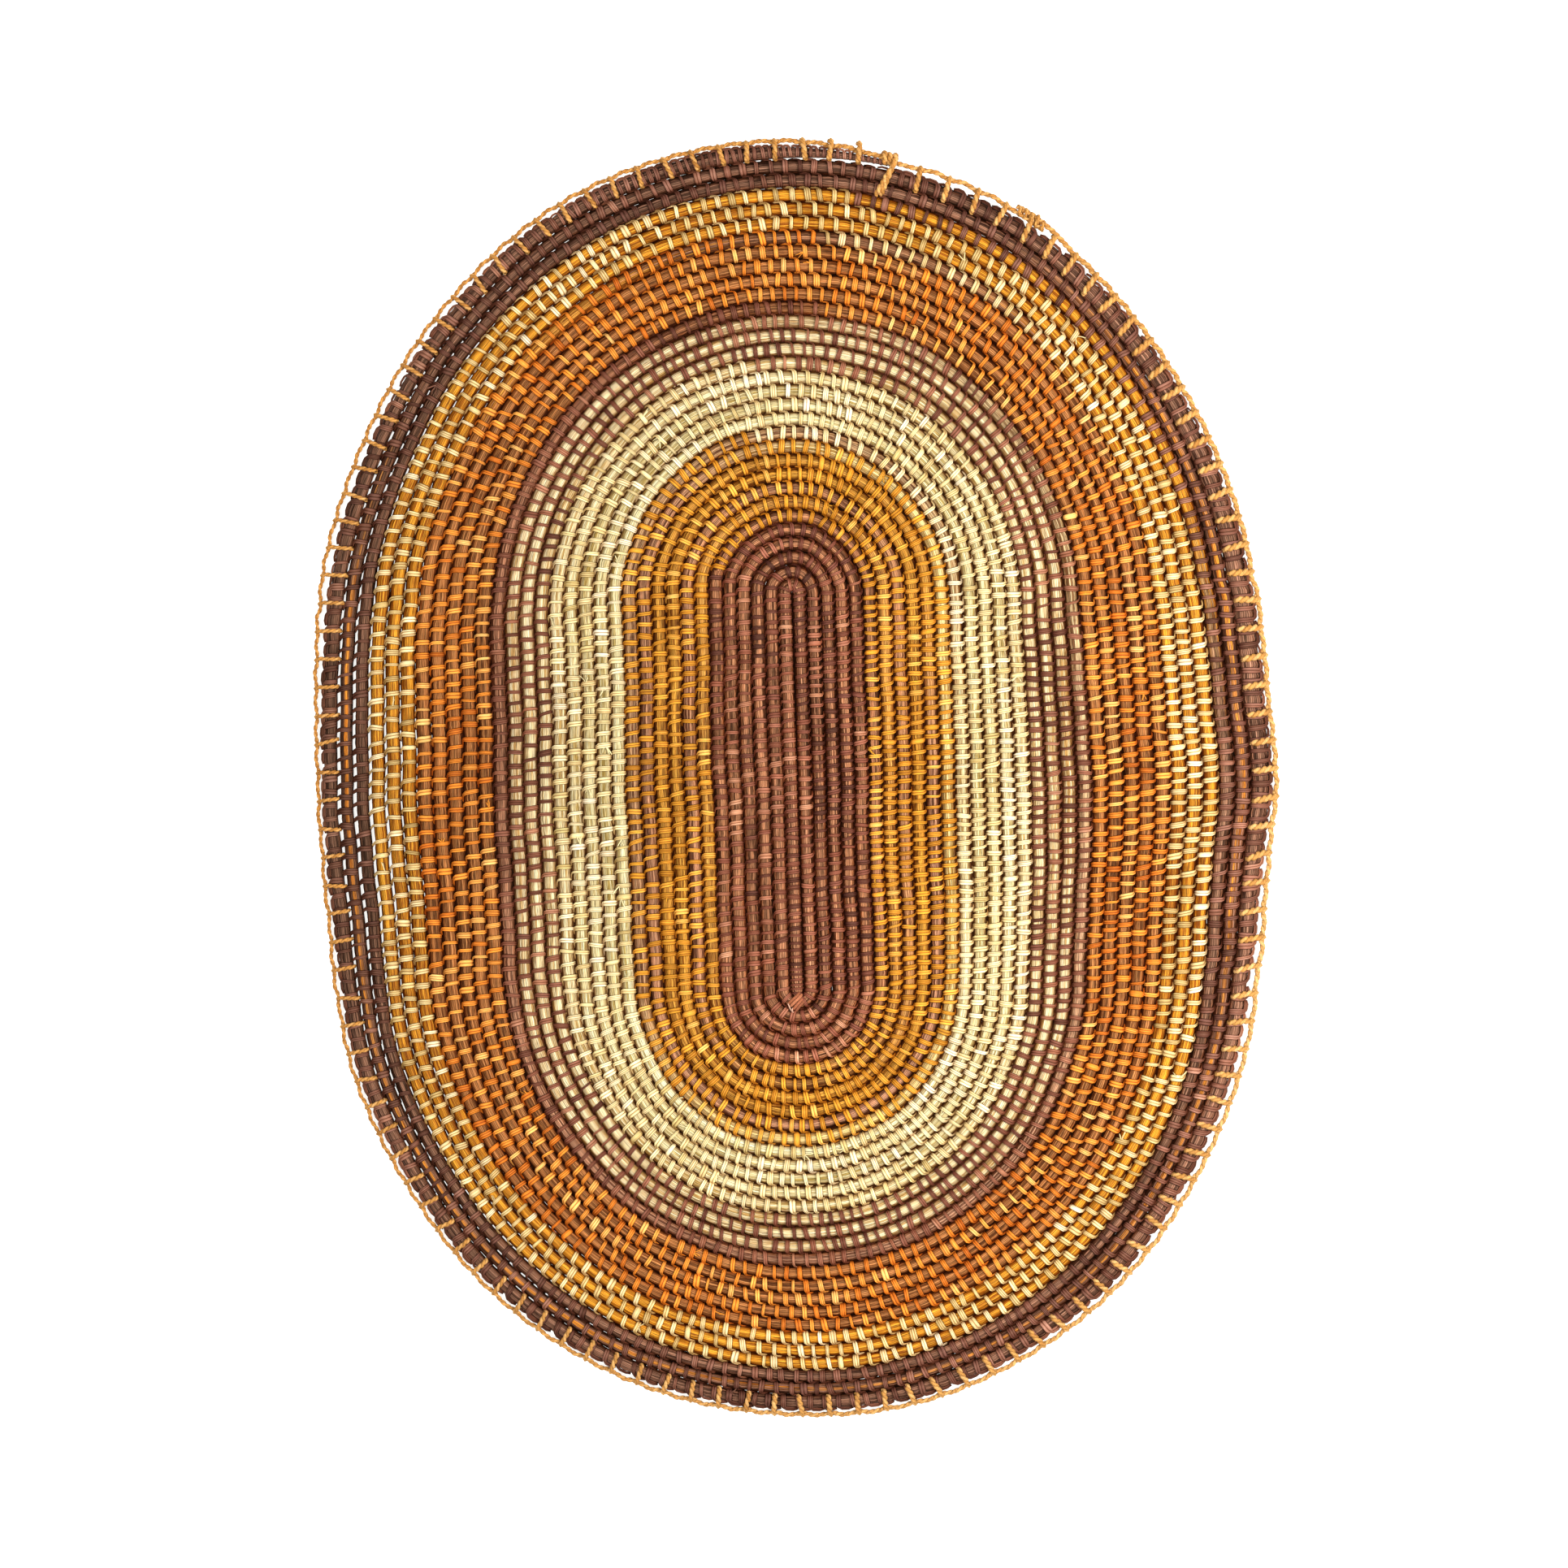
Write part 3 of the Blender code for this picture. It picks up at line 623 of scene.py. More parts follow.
# Stations of a stitch: place across the bundle as a share of its half width, then as a share of the
# room beyond it, height as a share of the bundle's, way out in strand thicknesses, share of its
# lean, way back along the row in spacings, share of its width, and painted shade, darkest where the
# stitch goes down into the grooves and at the end of the thread.
STATIONS = np.array([
    (-0.50, 0.00, 0.02, 0.0, -1.0, 0.00, 0.55, 0.1),
    (-0.88, 0.00, 0.28, 0.3, -1.0, 0.00, 0.62, 0.12),
    (-0.86, 0.00, 0.66, 0.5, -0.9, 0.00, 0.84, 0.42),
    (-0.57, 0.00, 0.97, 0.5, -0.5, 0.00, 1.0, 0.96),
    (0.00, 0.00, 1.07, 0.2, 0.0, 0.00, 1.0, 1.08),
    (0.57, 0.00, 0.98, 0.5, 0.5, 0.00, 1.0, 0.98),
    (0.86, 0.02, 0.77, 0.5, 1.0, 0.04, 0.84, 0.7),
    (0.97, 0.20, 0.66, 0.4, 1.0, 0.20, 0.60, 0.8),
    (1.00, 0.52, 0.54, 0.3, 1.0, 0.46, 0.50, 0.66),
    (1.00, 0.45, 0.32, 0.0, 1.0, 0.74, 0.42, 0.15),
])
THREAD = 6
# On the outermost row the thread lies against the row, and RIM_REACH_SHARES of its reach outside it.
RIM_STATIONS = STATIONS.copy()
RIM_STATIONS[THREAD:, 1] = 0.0
RIM_STATIONS[THREAD:, 2] = (0.74, 0.62, 0.60, 0.56)
RIM_STATIONS[THREAD:, 5] = (0.03, 0.24, 0.66, 1.0)
RIM_STATIONS[THREAD:, 6] = (0.90, 0.82, 0.80, 0.66)
RIM_STATIONS[THREAD:, 7] = (0.9, 0.85, 0.8, 0.6)
RIM_REACH_SHARES = np.array([0, 0, 0, 0, 0, 0, 0.25, 0.9, 1.0, 0.45])
# Where rows lie apart, at the left, the end of a stitch goes straight over the gap to the next row.
BRIDGE_PLACES = (0.56, 0.66, 0.84, 0.94)
BRIDGE_STATIONS = STATIONS.copy()
BRIDGE_STATIONS[THREAD:] = (
    (0.88, 0.10, 0.78, 0.5, 0.9, 0.02, 0.92, 0.85),
    (0.98, 0.45, 0.66, 0.3, 0.8, 0.08, 0.84, 0.85),
    (1.00, 0.85, 0.56, 0.2, 0.7, 0.16, 0.78, 0.70),
    (1.00, 1.20, 0.40, 0.0, 0.6, 0.24, 0.60, 0.30),
)


def stitch_dyes_with_painted_shade(dyes, runs, kind, shade, random):
    """The colour of every point of the stitches. Each stitch has a tone between the dyes of its lot, each
    of its strands is a little lighter or darker, and painted shade darkens the points and deepens their
    colour, lighter or darker by side of the mat."""
    count = len(runs)
    drift = slow_noise(random, runs, STITCH_TONE_DRIFT, 1)[0]
    tone = np.clip(STITCH_TONE + drift + random.normal(0, STITCH_TONE_SHAKE, count), *STITCH_TONE_LIMITS)
    tones = dye(dyes)
    place = tone * (len(tones) - 1)
    lower = place.astype(int)
    share = (place - lower)[:, None]
    base = tones[lower] * (1 - share) + tones[lower + 1] * share
    base = base * random.uniform(*STITCH_SHADES, (count, 1))
    strand = RIBBON_PAINTED_SHADES[kind]
    strand[:, :3] *= random.uniform(*STRAND_SHADES, (count, 1))
    strand[:, 4:7] *= random.uniform(*STRAND_SHADES, (count, 1))
    depth = strand[:, None, :, None] * shade[..., None, None]
    deeper = base[:, None, None, :] ** (1 + SHADE_DEEPENING * np.clip(1 - depth, 0, 1))
    return deeper * depth ** SHADOW_POWERS * painted_side_shade(runs)[:, None, None, None]


def lashing_piece(name, dyes, runs, spacings, seed):
    """All stitches of a dye lot: a ribbon section carried round the bundle and back along the row.

    A station's place along the coil is the stitch's, less its shares of the lean and of the way
    back. Its place across is its shares of the half width, the thickness and the gap beyond. Its
    ribbon faces away from a line inside the bundle.
    """
    random = np.random.default_rng(seed)
    count, turns = len(runs), turn_at(runs)
    lean = (STITCH_LEAN + random.normal(0, LEAN_SPREAD, count))[:, None]
    width = np.interp(turns, STRAND_WIDTH_TURNS, STRAND_HALF_WIDTHS)
    width = width * np.clip(random.normal(1.0, STRAND_WIDTH_SPREAD, count), *STRAND_WIDTH_LIMITS)
    width = np.minimum(width, spacings * MOST_WIDTH_SHARE)[:, None]
    fat = (STRAND_THICKNESS * random.uniform(*THICKNESS_LIMITS, count))[:, None]
    reach_back = (spacings * random.uniform(*THREAD_BACK_LIMITS, count))[:, None]
    rim = (turns > COIL_END - 1.0)[:, None]
    apart = round_loop(turns, (0.0, 1.0, 1.0, 0.0), BRIDGE_PLACES)
    apart = (apart * np.interp(turns, LOOSE_TURNS, [0.0, 1.0]))[:, None]
    stations = STATIONS + (BRIDGE_STATIONS - STATIONS) * apart[..., None]
    stations = np.where(rim[..., None], RIM_STATIONS, stations)
    across, beyond, up, out, lean_share, back, width_share, shade = np.moveaxis(stations, -1, 0)

    half = (bundle_half_width(runs) * np.interp(turns, RIBBON_TURNS, RIBBON_REACHES))[:, None]
    tall = bundle_height(runs)[:, None]
    gap = np.maximum(room_at(runs)[:, None] - 2 * half, LEAST_GAP)
    across = across * np.where(across > 0, 1 + outer_spread(runs)[:, None], 1.0)
    level = half * across + np.sign(across) * fat * out + gap * beyond
    level = level + np.where(rim, round_loop(turns, RIM_THREAD_REACHES)[:, None] * RIM_REACH_SHARES, 0.0)
    height = FLOOR_GAP + tall * up + fat * STRAND_LIFT_SHARE
    bow = random.normal(0, BOW_SPREAD, (count, 1)) * np.sin(np.pi * np.clip(up, 0, 1))
    run = runs[:, None] - lean * lean_share - reach_back * back + bow
    path = np.concatenate([on_coil(run, level), height[..., None]], axis=-1)
    tangent = np.gradient(path, axis=1)
    tangent /= np.linalg.norm(tangent, axis=-1, keepdims=True)
    facing = level * np.where(back > THREAD_BACK, THREAD_FACING_SHARE, 1.0)
    rise = height - FLOOR_GAP - tall * FACING_HEIGHT_SHARE
    rise[:, THREAD + 1:] = np.abs(rise[:, THREAD + 1:]) + THREAD_FACING_RISE
    normal = np.concatenate([outward_on_coil(run) * facing[..., None], rise[..., None]], axis=-1)
    normal -= (normal * tangent).sum(-1, keepdims=True) * tangent
    normal /= np.linalg.norm(normal, axis=-1, keepdims=True)

    kind = np.searchsorted(STRAND_KINDS, random.uniform(size=count))
    places, heights = RIBBON_PLACES[kind][:, None, :, None], RIBBON_HEIGHTS[kind][:, None, :, None]
    skew = random.normal(0, SKEW_SPREAD, (count, 1, 1, 1))
    skew = skew * np.linspace(-1, 1, len(STATIONS))[:, None, None]
    places = places + skew * (1 - np.abs(places))
    wide = (width * width_share)[..., None, None]
    thick = (fat * (1 + width_share) / 2)[..., None, None]
    points = path[:, :, None] + np.cross(tangent, normal)[:, :, None] * places * wide
    points = points + normal[:, :, None] * heights * thick
    points[..., 2] = np.maximum(points[..., 2], LOWEST_POINT)

    # Painted shade on the thread in the groove, by side of the mat: none on the rim row, and less where the
    # thread bridges a gap.
    foot = round_loop(turns, THREAD_PAINTED_SHADES)[:, None] * np.ones(len(STATIONS))
    foot[:, :THREAD + 1] = 1.0
    foot = np.where(rim, 1.0, 1 + (foot - 1) * (1 - apart))
    colours = stitch_dyes_with_painted_shade(dyes, runs, kind, shade * foot, random)

    quads, caps, uv = tube(path_lengths(path[0]), RIBBON_PLACES.shape[1])
    shift = (np.arange(count) * RIBBON_PLACES.shape[1] * len(STATIONS))[:, None]
    ends = np.concatenate([cap + shift for cap in caps])
    uv = np.tile(uv, (count, 1)) + np.repeat(random.uniform(0, STREAK_SHIFT, (count, 2)), len(uv), axis=0)
    finish = fibre_finish(name + "_leaf", (30.0, 120.0, 1.0), (0.60, 1.18), 0.55, 0.7)
    all_quads = (quads + shift[..., None]).reshape(-1, 4)
    add_mesh(name, points.reshape(-1, 3), all_quads, list(ends), colours.reshape(-1, 3), uv, finish)


stitch_turns = turn_at(stitch_runs)
for number, (lot, dyes) in enumerate(LASHING_DYES.items()):
    mine = (stitch_turns >= lot_starts[lot]) & (stitch_turns < lot_ends[lot])
    lashing_piece("lashing_" + lot, dyes, stitch_runs[mine], stitch_spacings[mine],
                  LASHING_SEED + number)

# The loose strands
# Short ends of the lashing leaf. Six strands cross the tip of the coil where it is tucked into its
# first bend. Cut ends, two or three together, spring from under some stitches and lie over the row.
# A tip strand is four places and its half width.
TIP_STRANDS = (
    ((0.0030, -0.1496), (0.0004, -0.1524), (-0.0028, -0.1554), (-0.0060, -0.1584), 0.0011),
    ((0.0046, -0.1508), (0.0020, -0.1538), (-0.0012, -0.1570), (-0.0042, -0.1600), 0.0012),
    ((0.0056, -0.1530), (0.0030, -0.1560), (0.0006, -0.1588), (-0.0022, -0.1622), 0.0011),
    ((0.0070, -0.1546), (0.0046, -0.1572), (0.0022, -0.1600), (-0.0002, -0.1634), 0.0011),
    ((-0.0056, -0.1570), (-0.0048, -0.1590), (-0.0040, -0.1608), (-0.0034, -0.1628), 0.0005),
    ((-0.0020, -0.1606), (-0.0026, -0.1618), (-0.0024, -0.1630), (-0.0014, -0.1642), 0.0006),
)
TIP_STRAND_LEVELS = (0.0084, 0.0106, 0.0102, 0.0084)
TIP_STRAND_STEP = 0.0008
TIP_STRAND_THICKNESS = 0.0013
TIP_STRAND_DYES = (
    (150, 88, 60), (176, 110, 78), (160, 94, 66), (140, 82, 58), (214, 170, 146), (206, 160, 136),
)
# The share of a lot's stitches that have cut ends, up to a turn near the coil's end.
LOOSE_ENDS = (("gold", 0.010), ("cream", 0.035), ("orange", 0.010), ("yellow", 0.012), ("dark_rim", 0.006))
LOOSE_ENDS_TO = 30.6
LOOSE_END_LENGTH = 0.0066
LOOSE_END_LENGTH_SHARES = (0.6, 1.25)
LOOSE_END_HALF_WIDTHS = (0.0002, 0.0005)
LOOSE_END_THICKNESS = 0.0004
LOOSE_END_GAP = 0.0003
LOOSE_END_RISES = (0.0004, 0.0016)
LOOSE_END_ASIDE = 0.0025
LOOSE_END_BEND = 0.0022
LOOSE_END_FAN = 0.5
LOOSE_END_SHADES = (0.6, 1.0)
LOOSE_END_TONE = 2
LOOSE_SEED = 900
# Places along a cut end, their own height and their share of its rise.
LOOSE_END_PLACES = ((0.0, 0.0, 0.0), (0.35, 0.0009, 0.5), (0.7, 0.0008, 1.0), (1.0, 0.0004, 0.8))
PATH_STEP = 0.0011
CURVE_POINTS = 12
LEAST_POINTS = 4
STRAND_SIDES = 8
STRAND_UNDER_SHADE = 0.3
STRAND_EDGE_SHADE = 0.4
NARROW_PLACES = (0.0, 0.12, 0.88, 1.0)
NARROW_SHARES = (0.15, 1.0, 1.0, 0.15)
STEEP_SLOPE = 0.95
STEEP_HELPER = (0.3, 0.95, 0.0)

string_finish = fibre_finish("rolled_string_fibre", (3.0, 900.0, 1.0), (0.66, 1.14), 0.7, 0.6)


def smooth_path(points, step=PATH_STEP):
    """Even points a step apart on a Catmull-Rom curve through the given points, and how far along."""
    points = np.asarray(points, float)
    before = np.concatenate([[2 * points[0] - points[1]], points[:-1]])
    after = np.concatenate([points[1:], [2 * points[-1] - points[-2]]])
    slopes = (after - before) / 2
    share = np.linspace(0, 1, CURVE_POINTS, endpoint=False)[None, :, None]
    fine = points[:-1, None] * (2 * share ** 3 - 3 * share ** 2 + 1)
    fine = fine + slopes[:-1, None] * (share ** 3 - 2 * share ** 2 + share)
    fine = fine + points[1:, None] * (3 * share ** 2 - 2 * share ** 3)
    fine = fine + slopes[1:, None] * (share ** 3 - share ** 2)
    fine = np.concatenate([fine.reshape(-1, 3), points[-1:]])
    length = path_lengths(fine)
    places = np.linspace(0, length[-1], max(LEAST_POINTS, int(length[-1] / step) + 1))
    return np.stack([np.interp(places, length, fine[:, axis]) for axis in range(3)], -1), places


def path_sides(path):
    """Two directions square to a path and to each other at each of its points: level and upwards."""
    tangent = np.gradient(path, axis=0)
    tangent /= np.linalg.norm(tangent, axis=1, keepdims=True)
    helper = np.where(np.abs(tangent[:, 2:]) > STEEP_SLOPE, STEEP_HELPER, (0.0, 0.0, 1.0))
    across = np.cross(tangent, helper)
    across /= np.linalg.norm(across, axis=1, keepdims=True)
    return across[:, None], np.cross(across, tangent)[:, None]


def flat_strand(path, half_width, thickness, colour):
    """A flat strand along a path, an oval section that narrows at both ends: points, dyes with painted
    shade underneath and at the edges, lengths.
    """
    across, lift = path_sides(path)
    angle = (2 * math.pi * np.arange(STRAND_SIDES) / STRAND_SIDES)[:, None]
    ends = np.sqrt(np.interp(np.linspace(0, 1, len(path)), NARROW_PLACES, NARROW_SHARES))[:, None, None]
    section = half_width * np.cos(angle) * across + thickness / 2 * np.sin(angle) * lift
    # Painted shade: darker underneath and at the edges.
    shade = 1 - STRAND_UNDER_SHADE * (1 - np.sin(angle))
    shade = shade * (1 - STRAND_EDGE_SHADE * np.abs(np.cos(angle)) ** 6)
    return path[:, None] + ends * section, np.tile(colour * shade, (len(path), 1)), path_lengths(path)


def add_strings(name, parts, node=None):
    """Joins strands or plies into one piece. Their rings of points run round the other way than
    those of the coil, so their faces are turned over."""
    quads, caps, uvs, total = [], [], [], 0
    for points, _, lengths in parts:
        part_quads, part_caps, part_uv = tube(lengths, points.shape[1])
        quads.append(part_quads[:, ::-1] + total)
        caps += [cap[::-1] + total for cap in part_caps]
        uvs.append(part_uv.reshape(-1, 4, 2)[:, ::-1].reshape(-1, 2))
        total += points.shape[0] * points.shape[1]
    points = np.concatenate([part[0].reshape(-1, 3) for part in parts])
    colours = np.concatenate([part[1].reshape(-1, 3) for part in parts])
    uvs = np.concatenate(uvs)
    add_mesh(name, points, np.concatenate(quads), caps, colours, uvs, string_finish, node)


def loose_tuft(run, colour, random):
    """Two or three cut ends of leaf that spring from under a stitch and lie over the row."""
    spot = on_coil(run, random.uniform(-LOOSE_END_ASIDE, LOOSE_END_ASIDE))
    outward = outward_on_coil(run)
    along = np.array([outward[1], -outward[0]]) * random.choice([-1.0, 1.0])
    parts = []
    for _ in range(random.integers(2, 4)):
        angle = random.normal(0, LOOSE_END_FAN)
        way = along * math.cos(angle) + outward * math.sin(angle)
        bend = np.array([-way[1], way[0]]) * random.uniform(-LOOSE_END_BEND, LOOSE_END_BEND)
        length = LOOSE_END_LENGTH * random.uniform(*LOOSE_END_LENGTH_SHARES)
        rise = random.uniform(*LOOSE_END_RISES)
        base = BUNDLE_HEIGHT + LOOSE_END_GAP
        path, _ = smooth_path([
            (*(spot + way * length * share + bend * share ** 2), base + lift + rise * rise_share)
            for share, lift, rise_share in LOOSE_END_PLACES
        ])
        half_width = random.uniform(*LOOSE_END_HALF_WIDTHS)
        shaded = colour * random.uniform(*LOOSE_END_SHADES)
        parts.append(flat_strand(path, half_width, LOOSE_END_THICKNESS, shaded))
    return parts


parts = []
for (*spots, half_width), strand_dye in zip(TIP_STRANDS, dye(TIP_STRAND_DYES)):
    points = [(*spot, level) for spot, level in zip(spots, TIP_STRAND_LEVELS)]
    path, _ = smooth_path(points, TIP_STRAND_STEP)
    parts.append(flat_strand(path, half_width, TIP_STRAND_THICKNESS, strand_dye))
add_strings("start_strands", parts)

for number, (lot, share) in enumerate(LOOSE_ENDS):
    loose_random = np.random.default_rng(LOOSE_SEED + number)
    lot_end = min(lot_ends[lot], LOOSE_ENDS_TO)
    own = stitch_runs[(stitch_turns > lot_starts[lot]) & (stitch_turns < lot_end)]
    parts = []
    for run in loose_random.choice(own, int(len(own) * share), replace=False):
        parts += loose_tuft(run, dye(LASHING_DYES[lot][LOOSE_END_TONE]), loose_random)
    add_strings("loose_ends_" + lot, parts)

# The edge string
# Hand-rolled string of two plies, worked round the rim in an open blanket stitch: the string runs
# along outside the coil, and every 20 mm a leg goes over the outermost row into the groove inside.
STRING_LEVEL = 0.0053
STRING_WAVE = 0.0003
STRING_WAVE_RATE = 2.1
STRING_POINTS_A_TURN = 2300
STRING_LEAST_POINTS = 8
RIM_HALF_SHARE = 0.475
RIM_END = 31.0
RIM_END_SHARES = (1.0, -0.3)
STANDOFF = 0.009
STANDOFF_TURNS = (30.0, 30.04, 30.13, 30.25, 30.38, 30.5, 30.65, 30.75, 30.88, 30.96, 31.0, 31.02)
STANDOFF_SHARES = (0.75, 0.80, 0.82, 0.70, 0.88, 0.55, 0.55, 0.4, 0.8, 0.6, 0.4, 0.6)
SCALLOP = 0.0008

# Legs and string round the loop: lean of a leg, thickness of legs and of the string, how far a leg
# reaches, and a power on the dye that paints in light: paler at the right, where the light is stronger, and
# a little deeper at the left.
LEG_SPACING = 0.0198
LEG_SAMPLES = 900
LEG_HALF_SHARE = 0.46
LEG_LEAN_SPREAD = 0.0010
LEG_SLACK = 0.0003
LEG_SIDES = 5
LEG_TOP_SHARE = 0.72
LEG_LEAN_SHARES = (0.3, 0.6, 0.9)
LEG_FALL_SHARES = (0.62, 0.4)
LEG_PLACES = (0.0, 0.1, 0.3, 0.5, 0.62, 0.75, 0.9, 1.0)
LEG_LEANS = (0.0012, 0.0022, 0.0025, 0.0012, 0.0012, 0.0015, 0.0, 0.0012)
LEG_SIZES = (1.25, 1.62, 1.55, 1.25, 1.0, 0.95, 1.0, 1.2)
LEG_REACHES = (0.9, 0.5, 0.45, 0.75, 1.0, 1.0, 1.0, 0.95)
STRING_SIZES = (1.15, 1.28, 1.22, 1.1, 0.95, 0.9, 0.95, 1.1)
STRING_LIGHT_POWERS = (1.0, 0.92, 0.74, 0.86, 1.0, 1.08, 1.06, 1.0)
# How far each point of a leg is from the string or from the row: across, up and aside.
LEG_NUDGES = (
    (-0.0002, -0.0019, 0.0010),
    (0.0010, -0.0002, 0.0006),
    (0.0005, 0.0019, -0.0002),
    (0.0, 0.0010, -0.0004),
    (0.0, 0.0008, -0.0002),
    (0.0, 0.0016, 0.0),
    (0.0, 0.0007, 0.0),
    (-0.0002, 0.0, 0.0),
    (-0.0002, 0.0, 0.0),
)

PLY_RADIUS = 0.00114
PLY_OFFSET = 0.00054
PLY_TWIST = 0.0088
PLY_SIDES = 6
PLY_TURN_SPREAD = 0.3
PLY_END_SHARE = 0.5
PLY_SWELL = 0.10
PLY_SWELL_STEP = 0.004
PLY_SWELL_PAST = 0.01
PLY_INNER_SHADE = 0.14
PLY_DYE_SPREAD = 0.8
PLY_GRAINS = (0.82, 1.12)
STRING_DYES = ((196, 140, 72), (160, 104, 46), (218, 168, 104))

# The knot's place, and the splice, which is a little way clockwise of it. A wrap of the splice is its
# first place, its count of turns and its radius.
KNOT_TURN = 30.02
KNOT_REACH = 0.0059
SLOPE_STEP = 0.001
SPLICE_TURN = 30.0455
SPLICE_LENGTH = 0.020
SPLICE_WRAPS = ((-0.1, 3.4, 0.0027), (0.35, 2.6, 0.0033))
SPLICE_WRAP_STEP = 0.24
SPLICE_WRAP_POINTS = 9
SPLICE_WRAP_WAVE = 0.22
SPLICE_WAVE_RATES = (3.7, 9)
SPLICE_WRAP_PUSH = 0.0014
SPLICE_WRAP_LIFT = 0.0006
SPLICE_WRAP_SIZE = 0.8
# The long string's first points beside the splice: place, push outwards and lift.
SPLICE_LEAD = ((-0.2, 0.0030, 0.0004), (0.5, 0.0034, 0.0), (1.2, 0.0026, 0.0006))
LEAD_STRIDE = 6


def rim_standoff(turn):
    return STANDOFF * np.interp(turn, STANDOFF_TURNS, STANDOFF_SHARES)


def beside_rim(turn, push):
    """Level points outside the rim row, at the string's distance from its edge and a push."""
    run = run_at(turn)
    edge = room_at(run) * RIM_HALF_SHARE * np.interp(turn, [RIM_END, COIL_END], RIM_END_SHARES)
    return on_coil(run, edge + rim_standoff(turn) + push)


def two_ply(path, places, random, sides=PLY_SIDES, size=1.0, painted_light_power=1.0):
    """Two plies wound round a path: the points, dyes and lengths of each, with painted shade on the side of
    each ply that faces the other.
    """
    size = np.broadcast_to(size, len(path))[:, None, None]
    painted_light_power = np.broadcast_to(painted_light_power, len(path))[:, None, None]
    across, lift = path_sides(path)
    round_ply = 2 * math.pi * np.arange(sides) / sides
    knots = np.arange(0, places[-1] + PLY_SWELL_PAST, PLY_SWELL_STEP)
    dyes = dye(STRING_DYES)
    made = []
    for ply in (0, 1):
        angle = 2 * math.pi * places / PLY_TWIST + math.pi * ply + random.uniform(0, PLY_TURN_SPREAD)
        angle = angle[:, None, None]
        centre = path[:, None] + size * PLY_OFFSET * (np.cos(angle) * across + np.sin(angle) * lift)
        swell = 1 + PLY_SWELL * np.interp(places, knots, random.uniform(-1, 1, len(knots)))
        turned = angle + round_ply[:, None]
        ring = np.cos(turned) * across + np.sin(turned) * lift
        ring = ring * (size * PLY_RADIUS * swell[:, None, None])
        ring[[0, -1]] *= PLY_END_SHARE
        base = dyes[0] + (dyes[2 - ply] - dyes[0]) * random.uniform(0, PLY_DYE_SPREAD)
        grain = random.uniform(*PLY_GRAINS, len(path))[:, None, None]
        # Painted shade on the side of each ply that faces the other.
        shade = 1 - PLY_INNER_SHADE * (1 - np.cos(round_ply))
        # The power on the dye paints in light: under 1 it is paler.
        made.append((centre + ring, base ** painted_light_power * shade[:, None] * grain, places))
    return made


def leg_places(first, last):
    """Even places for legs between two turns, LEG_SPACING apart as nearly as a whole count allows."""
    samples = np.linspace(first, last, LEG_SAMPLES)
    reached = path_lengths(beside_rim(samples, 0.0))
    count = max(1, round(reached[-1] / LEG_SPACING))
    return np.interp((np.arange(count) + 0.5) * reached[-1] / count, reached, samples)


def running_string(first, last, legs):
    """The string beside the rim, drawn in at each leg and bowed out between two of them."""
    turns = np.linspace(first, last, int((last - first) * STRING_POINTS_A_TURN) + STRING_LEAST_POINTS)
    nearest = np.interp(turns, legs, np.arange(len(legs)))
    spots = beside_rim(turns, -SCALLOP * np.cos(2 * math.pi * nearest))
    path = np.column_stack([spots, STRING_LEVEL + STRING_WAVE * np.sin(nearest * STRING_WAVE_RATE)])
    return smooth_path(path)


def leg_part(turn, random):
    """A leg: a turn round the running string, then over the rim row into the groove inside it."""
    run = run_at(turn)
    half = room_at(run) * LEG_HALF_SHARE
    outer_half = half * (1 + outer_spread(run))
    tall = BUNDLE_HEIGHT + FLOOR_GAP
    out = room_at(run) * RIM_HALF_SHARE + rim_standoff(turn) - SCALLOP
    lean = -round_loop(turn, LEG_LEANS, LEG_PLACES) + random.normal(0.0, LEG_LEAN_SPREAD)
    slack = random.uniform(-LEG_SLACK, LEG_SLACK)
    reach = half * round_loop(turn, LEG_REACHES, LEG_PLACES)
    early, middle, late = np.multiply(LEG_LEAN_SHARES, lean)
    fallen, lowest = np.multiply(LEG_FALL_SHARES, tall)
    spots = (
        (out, STRING_LEVEL, 0.0),
        (out, STRING_LEVEL, 0.0),
        (out, STRING_LEVEL, 0.0),
        ((out + outer_half) / 2, (STRING_LEVEL + tall) / 2, slack),
        (outer_half * LEG_TOP_SHARE, tall, early),
        (half - reach, tall, middle),
        (-reach * LEG_TOP_SHARE, tall, late),
        (-reach, fallen, lean),
        (-reach, lowest, lean),
    )
    placed = np.add(spots, LEG_NUDGES)
    path, places = smooth_path([(*on_coil(run - aside, across), level) for across, level, aside in placed])
    size = round_loop(turn, LEG_SIZES, LEG_PLACES)
    painted_light_power = (1 + round_loop(turn, STRING_LIGHT_POWERS, LEG_PLACES)) / 2
    return two_ply(path, places, random, LEG_SIDES, size, painted_light_power)


def turns_over(turn, length):
    """How much of a turn a length takes up along the coil near a turn."""
    return length * 2 * SLOPE_STEP / (run_at(turn + SLOPE_STEP) - run_at(turn - SLOPE_STEP))


string_random = np.random.default_rng(77)
knot_reach = turns_over(KNOT_TURN, KNOT_REACH)
splice_reach = turns_over(SPLICE_TURN, SPLICE_LENGTH)
short_legs = leg_places(KNOT_TURN + 2 * knot_reach, SPLICE_TURN)
long_legs = leg_places(SPLICE_TURN, KNOT_TURN + 1.0 - 2 * knot_reach)

